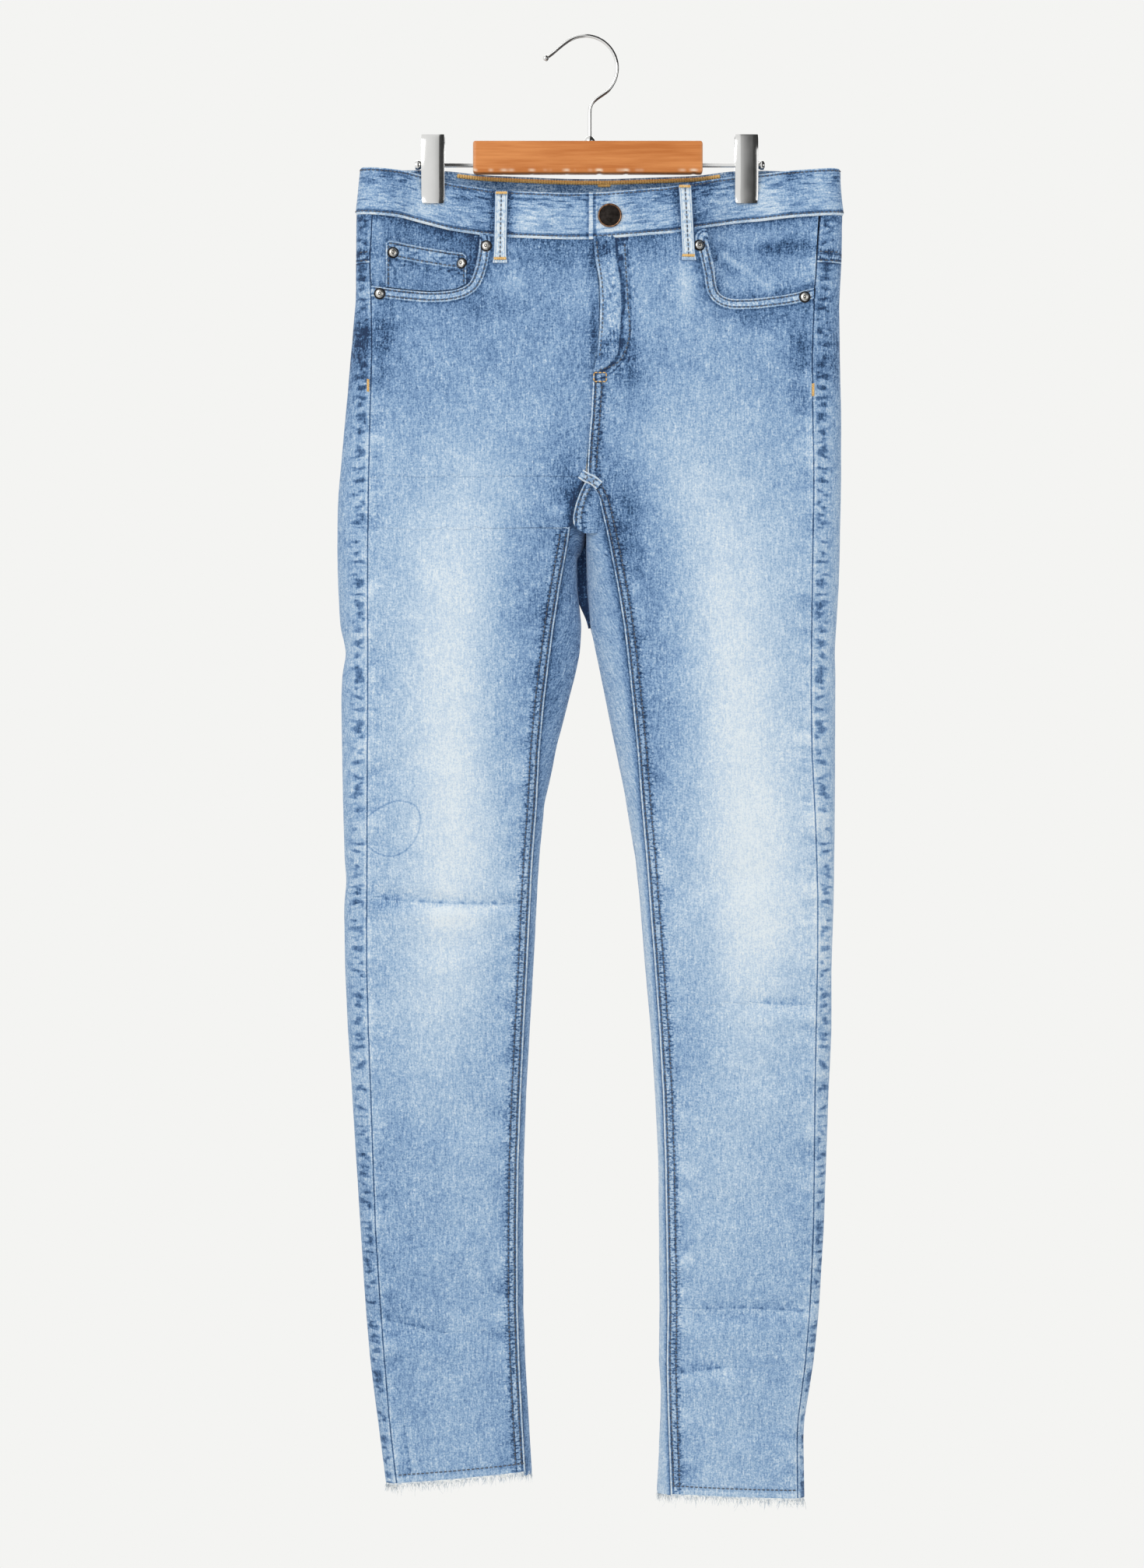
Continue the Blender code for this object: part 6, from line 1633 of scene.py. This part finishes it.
def face_outwards(made):
    shape = bmesh.new()
    shape.from_mesh(made.data)
    bmesh.ops.recalc_face_normals(shape, faces=shape.faces)
    shape.to_mesh(made.data)
    shape.free()


def turned(name, profile, at, axis, looks, steps=40, node_name=""):
    """A turned solid from (radius, distance along the axis, look number) rows."""
    axis = unit(np.array(axis, float))
    helper = np.array((0.0, 0.0, 1.0)) if abs(axis[2]) < 0.9 else np.array((1.0, 0.0, 0.0))
    first = unit(np.cross(axis, helper))
    second = np.cross(axis, first)
    verts = []
    for radius, gone, _ in profile:
        for n in range(steps):
            turn = 2 * math.pi * n / steps
            round_it = first * math.cos(turn) + second * math.sin(turn)
            verts.append(np.array(at) + axis * gone + round_it * radius)
    faces = [list(range(steps))[::-1], *tube_faces(len(profile), steps),
             [(len(profile) - 1) * steps + n for n in range(steps)]]
    kinds = [profile[0][2], *(row[2] for row in profile[:-1] for _ in range(steps)),
             profile[-1][2]]
    made = add_mesh(name, np.array(verts), faces, looks[0], smooth_angle=35)
    for look in looks[1:]:
        made.data.materials.append(look)
    for polygon, kind in zip(made.data.polygons, kinds):
        polygon.material_index = kind
    face_outwards(made)
    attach(made, "root")
    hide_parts(node_name)


low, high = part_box("button")
middle = (np.array(low) + np.array(high)) / 2 / MM
button_base = np.array((middle[0], high[1] / MM, middle[2]))
turned("shank_button", ((6.0, -0.2, 0), (6.0, 0.8, 0), (8.5, 1.2, 0), (9.0, 1.9, 0),
                        (9.05, 2.5, 0), (8.8, 3.1, 0), (8.3, 3.5, 0), (8.0, 3.45, 0),
                        (7.7, 3.05, 1), (7.5, 2.9, 1), (5.0, 3.05, 1), (3.0, 3.2, 1),
                        (1.2, 3.3, 1), (0.3, 3.32, 1)),
       button_base, (0, -1, 0), (COPPER, OXIDE), steps=56,
       node_name="button")

Rivet = namedtuple("Rivet", "side x z lift")
RIVETS = table(Rivet,
    (RIGHT, 148.2, -163.6, 0.3), (RIGHT, 96.4, -171.8, 0.3), (RIGHT, 77.8, -159.6, 0.8),
    (RIGHT, 158.0, -195.0, 0.9), (LEFT, 82.2, -159.0, 0.8), (LEFT, 161.6, -197.6, 0.9))
for n, rivet in enumerate(RIVETS, 1):
    line = [(rivet.x - 0.5, rivet.z), (rivet.x + 0.5, rivet.z)]
    spot, out = cloth_line(rivet.side, "front", line, lift=rivet.lift - 0.3, count=3)
    turned(f"domed_rivet_{n}", ((4.3, 0.0, 1), (4.3, 0.5, 1), (3.8, 0.8, 1), (3.35, 0.75, 1),
                                (3.2, 1.0, 0), (2.9, 1.45, 0), (2.2, 1.8, 0), (1.4, 1.95, 0),
                                (1.1, 1.8, 1), (0.7, 2.15, 0), (0.2, 2.3, 0)),
           spot[1], out[1], (NICKEL, OXIDE), steps=28, node_name=f"rivet_{n}")

# ---------------------------------------------------------------------------------- hanger
# A turned-edge hardwood block in orange-brown varnish carries two steel rods with a sprung clip
# of pressed sheet on each, and a wire hook. All the steel is nickel and chrome plated.


def swept(name, points, size, look, smooth_angle=50.0):
    """A solid through rings of `size` points each, closed at both ends."""
    ends = [list(range(size)), [len(points) - 1 - n for n in range(size)]]
    made = add_mesh(name, np.array(points), ends + tube_faces(len(points) // size, size), look,
                    smooth_angle)
    face_outwards(made)
    return made


def varnished_wood():
    made = new_material("varnished_hardwood")
    place = node(made, "TexCoord").outputs["Object"]
    grain = node(made, "Mapping", {"Vector": place, "Scale": (26.0, 180.0, 520.0)})
    fine = node(made, "TexNoise", {"Vector": grain.outputs[0], "Scale": 1.0, "Detail": 5.0,
                                   "Roughness": 0.6})
    wide = node(made, "Mapping", {"Vector": place, "Scale": (9.0, 60.0, 120.0)})
    broad = node(made, "TexNoise", {"Vector": wide.outputs[0], "Scale": 1.0, "Detail": 2.0})
    both = node(made, "Math", {0: fine.outputs["Fac"], 1: broad.outputs["Fac"]}, operation="ADD")
    half = node(made, "Math", {0: both.outputs[0], 1: 0.5}, operation="MULTIPLY")
    ramp = node(made, "ValToRGB", {"Fac": half.outputs[0]})
    fill_ramp(ramp, ((0.36, linear("#bb6c2c")), (0.62, linear("#d88c4c"))))
    pale = node(made, "Attribute", attribute_name="worn").outputs["Fac"]
    mixed = node(made, "MixRGB", {"Fac": pale, "Color1": ramp.outputs["Color"],
                                  "Color2": linear("#f2dcc0")})
    bump = node(made, "Bump", {"Height": fine.outputs["Fac"], "Strength": 0.15, "Distance": 0.0004})
    return finish_shader(made, 0.38, mixed.outputs[0], bump.outputs["Normal"],
                         **{"Coat Weight": 0.25, "Coat Roughness": 0.25, "Specular IOR Level": 0.3})


def plated_steel():
    made = new_material("chrome_plated_steel")
    place = node(made, "TexCoord").outputs["Object"]
    noise = node(made, "TexNoise", {"Vector": place, "Scale": 60.0, "Detail": 3.0})
    rough = node(made, "MapRange", {"Value": noise.outputs["Fac"], "To Min": 0.08, "To Max": 0.2})
    return finish_shader(made, rough.outputs[0], linear("#dcdcda"), Metallic=1.0)


# Close-grained hardwood shows streaks along its length under a soft gloss. Chrome plate is nearly
# a mirror, a little uneven from polishing
WOOD = varnished_wood()
STEEL = plated_steel()
low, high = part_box("hanger_block")
low, high = np.array(low) / MM, np.array(high) / MM
centre = (low + high) / 2
half = (high - low) / 2
stations = np.concatenate((low[0] + np.array((0.0, 0.3, 0.9, 1.8)),
                           np.linspace(low[0] + 3, high[0] - 3, 150),
                           high[0] - np.array((1.8, 0.9, 0.3, 0.0))))
ends = np.minimum(stations - low[0], high[0] - stations)
chips = uneven(301, 1.6, -200, 200)
block_points, worn = [], []
corner = 1.7
outline = []
for sx, sz, start in ((1, 1, 0), (-1, 1, 90), (-1, -1, 180), (1, -1, 270)):
    for turn in np.linspace(0, 90, 6):
        angle = math.radians(start + turn)
        outline.append((sx * (half[1] - corner) + corner * math.cos(angle),
                        sz * (half[2] - corner) + corner * math.sin(angle)))
    climb = {90: (0.8, 0.4, 0.0, -0.4, -0.8, -0.9), 270: (-0.9, -0.8, -0.4, 0.0, 0.4, 0.8)}
    outline += [(sx * half[1], share * (half[2] - corner)) for share in climb.get(start, ())]
for x, end in zip(stations, ends):
    pull = 1.6 * (1 - float(quarter_round(end / 1.8)))
    for y, z in outline:
        lower = math.exp(-((z + half[2]) / 1.1) ** 2)
        chip = max(float(chips(np.array(x))) - 0.7, 0) * 0.5 * lower
        block_points.append((x, y * (1 - pull / half[1]),
                             centre[2] + z * (1 - pull / half[2]) + chip))
        above = math.exp(-((z + half[2] - 2.0) / 0.9) ** 2)
        worn.append(min(1.0, above * max(0.0, 0.20 + 0.55 * float(chips(np.array(x))))
                        + 0.3 * math.exp(-end / 0.6)))
block = swept("wooden_block", block_points, len(outline), WOOD)
data = block.data.attributes.new("worn", "FLOAT", "POINT").data
data.foreach_set("value", np.array(worn, np.float32))
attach(block, "root")
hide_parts("hanger_block")

ROD_Z = -96.4
for name, sign, start in (("right", -1, low[0]), ("left", 1, high[0])):
    run = 132.2 - abs(start)
    turned(f"steel_rod_{name}", ((1.6, -2.0, 0), (1.6, run - 6, 0), (1.9, run - 5.2, 0),
                                 (2.9, run - 4.4, 0), (3.45, run - 3.4, 0),
                                 (3.5, run - 1.6, 0), (3.2, run - 0.6, 0), (2.4, run - 0.1, 0),
                                 (1.0, run, 0)),
           (start, 0.0, ROD_Z), (sign, 0, 0), (STEEL,), steps=28,
           node_name=f"hanger_rod_{name}")

CLIP_WIDTH = 17.6
CLIP_SHEET = 1.0
JAW = (
    (-125.8, 4.5, 1.0, 0.88), (-124.8, 3.9, 1.0, 0.93), (-123.0, 3.7, 1.1, 0.97),
    (-120.0, 3.8, 1.1, 1.0), (-117.0, 4.2, 1.2, 1.0), (-112.0, 5.2, 1.2, 1.0),
    (-106.0, 6.3, 1.3, 1.0), (-103.0, 6.8, 2.4, 1.0), (-101.0, 7.1, 4.0, 1.0),
    (-98.0, 7.4, 4.8, 1.0), (-92.0, 7.7, 4.9, 1.0), (-86.0, 7.6, 4.6, 1.0), (-83.0, 7.4, 3.6, 1.0),
    (-80.0, 7.0, 1.8, 1.0), (-77.5, 6.5, 1.4, 0.995), (-75.6, 5.9, 1.4, 0.99),
    (-74.4, 5.2, 1.4, 0.98), (-73.8, 4.4, 1.5, 0.97))
for side_name, sign in (("right", -1), ("left", 1)):
    for face_name, toward in (("front", -1), ("back", 1)):
        x = sign * CLIP_X
        points = []
        for z, plate, flange, width in JAW:
            edge = CLIP_WIDTH / 2 * width
            inside = edge - CLIP_SHEET
            far = plate + CLIP_SHEET
            tip = far - max(flange, CLIP_SHEET + 0.05)
            loop = ((-edge + 0.5, far), (-edge * 0.5, far + 0.12), (0, far + 0.16),
                    (edge * 0.5, far + 0.12), (edge - 0.5, far), (edge - 0.14, far - 0.14),
                    (edge, far - 0.5), (edge, tip), (inside, tip), (inside, plate),
                    (-inside, plate), (-inside, tip), (-edge, tip), (-edge, far - 0.5),
                    (-edge + 0.14, far - 0.14))
            points += [(x + across, toward * depth, z) for across, depth in loop]
        jaw = swept(f"clip_jaw_{side_name}_{face_name}", points, len(loop), STEEL, 42)
        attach(jaw, "root")
        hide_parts(f"hanger_clip_{side_name}_{face_name}")

path = [(0.0, -77.6), (0.0, -68.0), (0.0, -60.0), (0.2, -54.5), (1.4, -50.3), (4.4, -46.7)]
for turn in range(-48, 129, 11):
    angle = math.radians(turn)
    path.append((-3.5 + 24.2 * math.cos(angle), -22.8 + 24.2 * math.sin(angle)))
path += [(-23.4, -7.6), (-28.0, -11.6), (-31.6, -14.3)]
wire = smooth_polyline([(x, 0.0, z) for x, z in path], 150)
way = unit(np.gradient(wire, axis=0))
across_way = np.cross(way, (0.0, 1.0, 0.0))
steps = 14
points = []
for spot, across in zip(wire, across_way):
    for n in range(steps):
        turn = 2 * math.pi * n / steps
        points.append(spot + 1.4 * (across * math.cos(turn)
                                    + np.array((0.0, 1.0, 0.0)) * math.sin(turn)))
hook = swept("wire_hook", points, steps, STEEL)
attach(hook, "root")
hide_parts("hanger_hook")
end_way = way[-1]
ball = [(2.3 * math.sin(math.radians(t)), 2.3 * (0.8 - math.cos(math.radians(t))), 0)
        for t in (*range(30, 166, 15), 175)]
turned("hook_ball", ball, wire[-1] + end_way * 0.2, end_way, (STEEL,), steps=24,
       node_name="hanger_hook_tip")
turned("hook_collar", ((4.2, 0.0, 0), (4.2, 0.8, 0), (4.0, 1.3, 0), (3.4, 2.2, 0), (2.7, 3.1, 0),
                       (2.1, 3.7, 0), (1.6, 4.0, 0)),
       (0.0, 0.0, high[2] + 0.1), (0, 0, 1), (STEEL,), steps=32,
       node_name="hanger_collar")

# --------------------------------------------------------------------------------- setting
# A round pale floor well below the hems, soft studio light and the camera. What glossy things
# see is a room with a pale side and a dark side, as a photographer's flags give chrome its edges.

WALL_WHITE = "#f4f4f2"
ROOM_LIGHT = 0.72
FLOOR_RADIUS = 1050.0
rim = [(FLOOR_RADIUS * math.cos(math.radians(t)), FLOOR_RADIUS * math.sin(math.radians(t)), 0)
       for t in range(0, 360, 5)]
floor = add_mesh("studio_floor", rim, [tuple(range(72))],
                 finish_shader(new_material("matt_white_floor"), 0.9, linear("#e4e4e2")))
floor.location.z = -1.5

world = bpy.data.worlds.new("studio")
bpy.context.scene.world = world
world.use_nodes = True
ray = node(world, "LightPath").outputs
way = node(world, "SeparateXYZ", {0: node(world, "TexCoord").outputs["Generated"]}).outputs[0]
card = node(world, "MapRange", {"Value": way, "From Min": -0.015, "From Max": 0.04,
                                "To Min": 1.0, "To Max": 0.04}).outputs[0]
room = node(world, "MixRGB", {"Fac": ray["Is Glossy Ray"], "Color1": (ROOM_LIGHT,) * 3 + (1.0,),
                              "Color2": card}).outputs[0]
seen = node(world, "MixRGB", {"Fac": ray["Is Camera Ray"], "Color1": room,
                              "Color2": linear(WALL_WHITE)}).outputs[0]
world.node_tree.links.new(seen, world.node_tree.nodes["Background"].inputs["Color"])

for name, place, power, size in (("key", (-1.6, -2.4, 0.9), 34, 1.6),
                                 ("fill", (1.9, -2.2, -0.2), 14, 1.8),
                                 ("rim", (0.4, 2.4, 0.6), 22, 1.8)):
    light = bpy.data.lights.new(name, "AREA")
    light.energy = power
    light.size = size
    lamp = bpy.data.objects.new(name, light)
    bpy.context.scene.collection.objects.link(lamp)
    lamp.location = place
    aim = Vector((0.0, 0.0, -0.55)) - Vector(place)
    lamp.rotation_euler = aim.to_track_quat("-Z", "Y").to_euler()

camera = bpy.data.objects.new("camera", bpy.data.cameras.new("camera"))
bpy.context.scene.collection.objects.link(camera)
camera.location = (-0.0134, -3.0, -0.5636)
camera.rotation_euler = (math.radians(90), 0, 0)
camera.data.sensor_width = 36
camera.data.lens = 36 * 3.0 / (2014 * 0.588 * MM)
camera.data.clip_end = 60
bpy.context.scene.camera = camera
bpy.context.scene.view_settings.view_transform = "Standard"
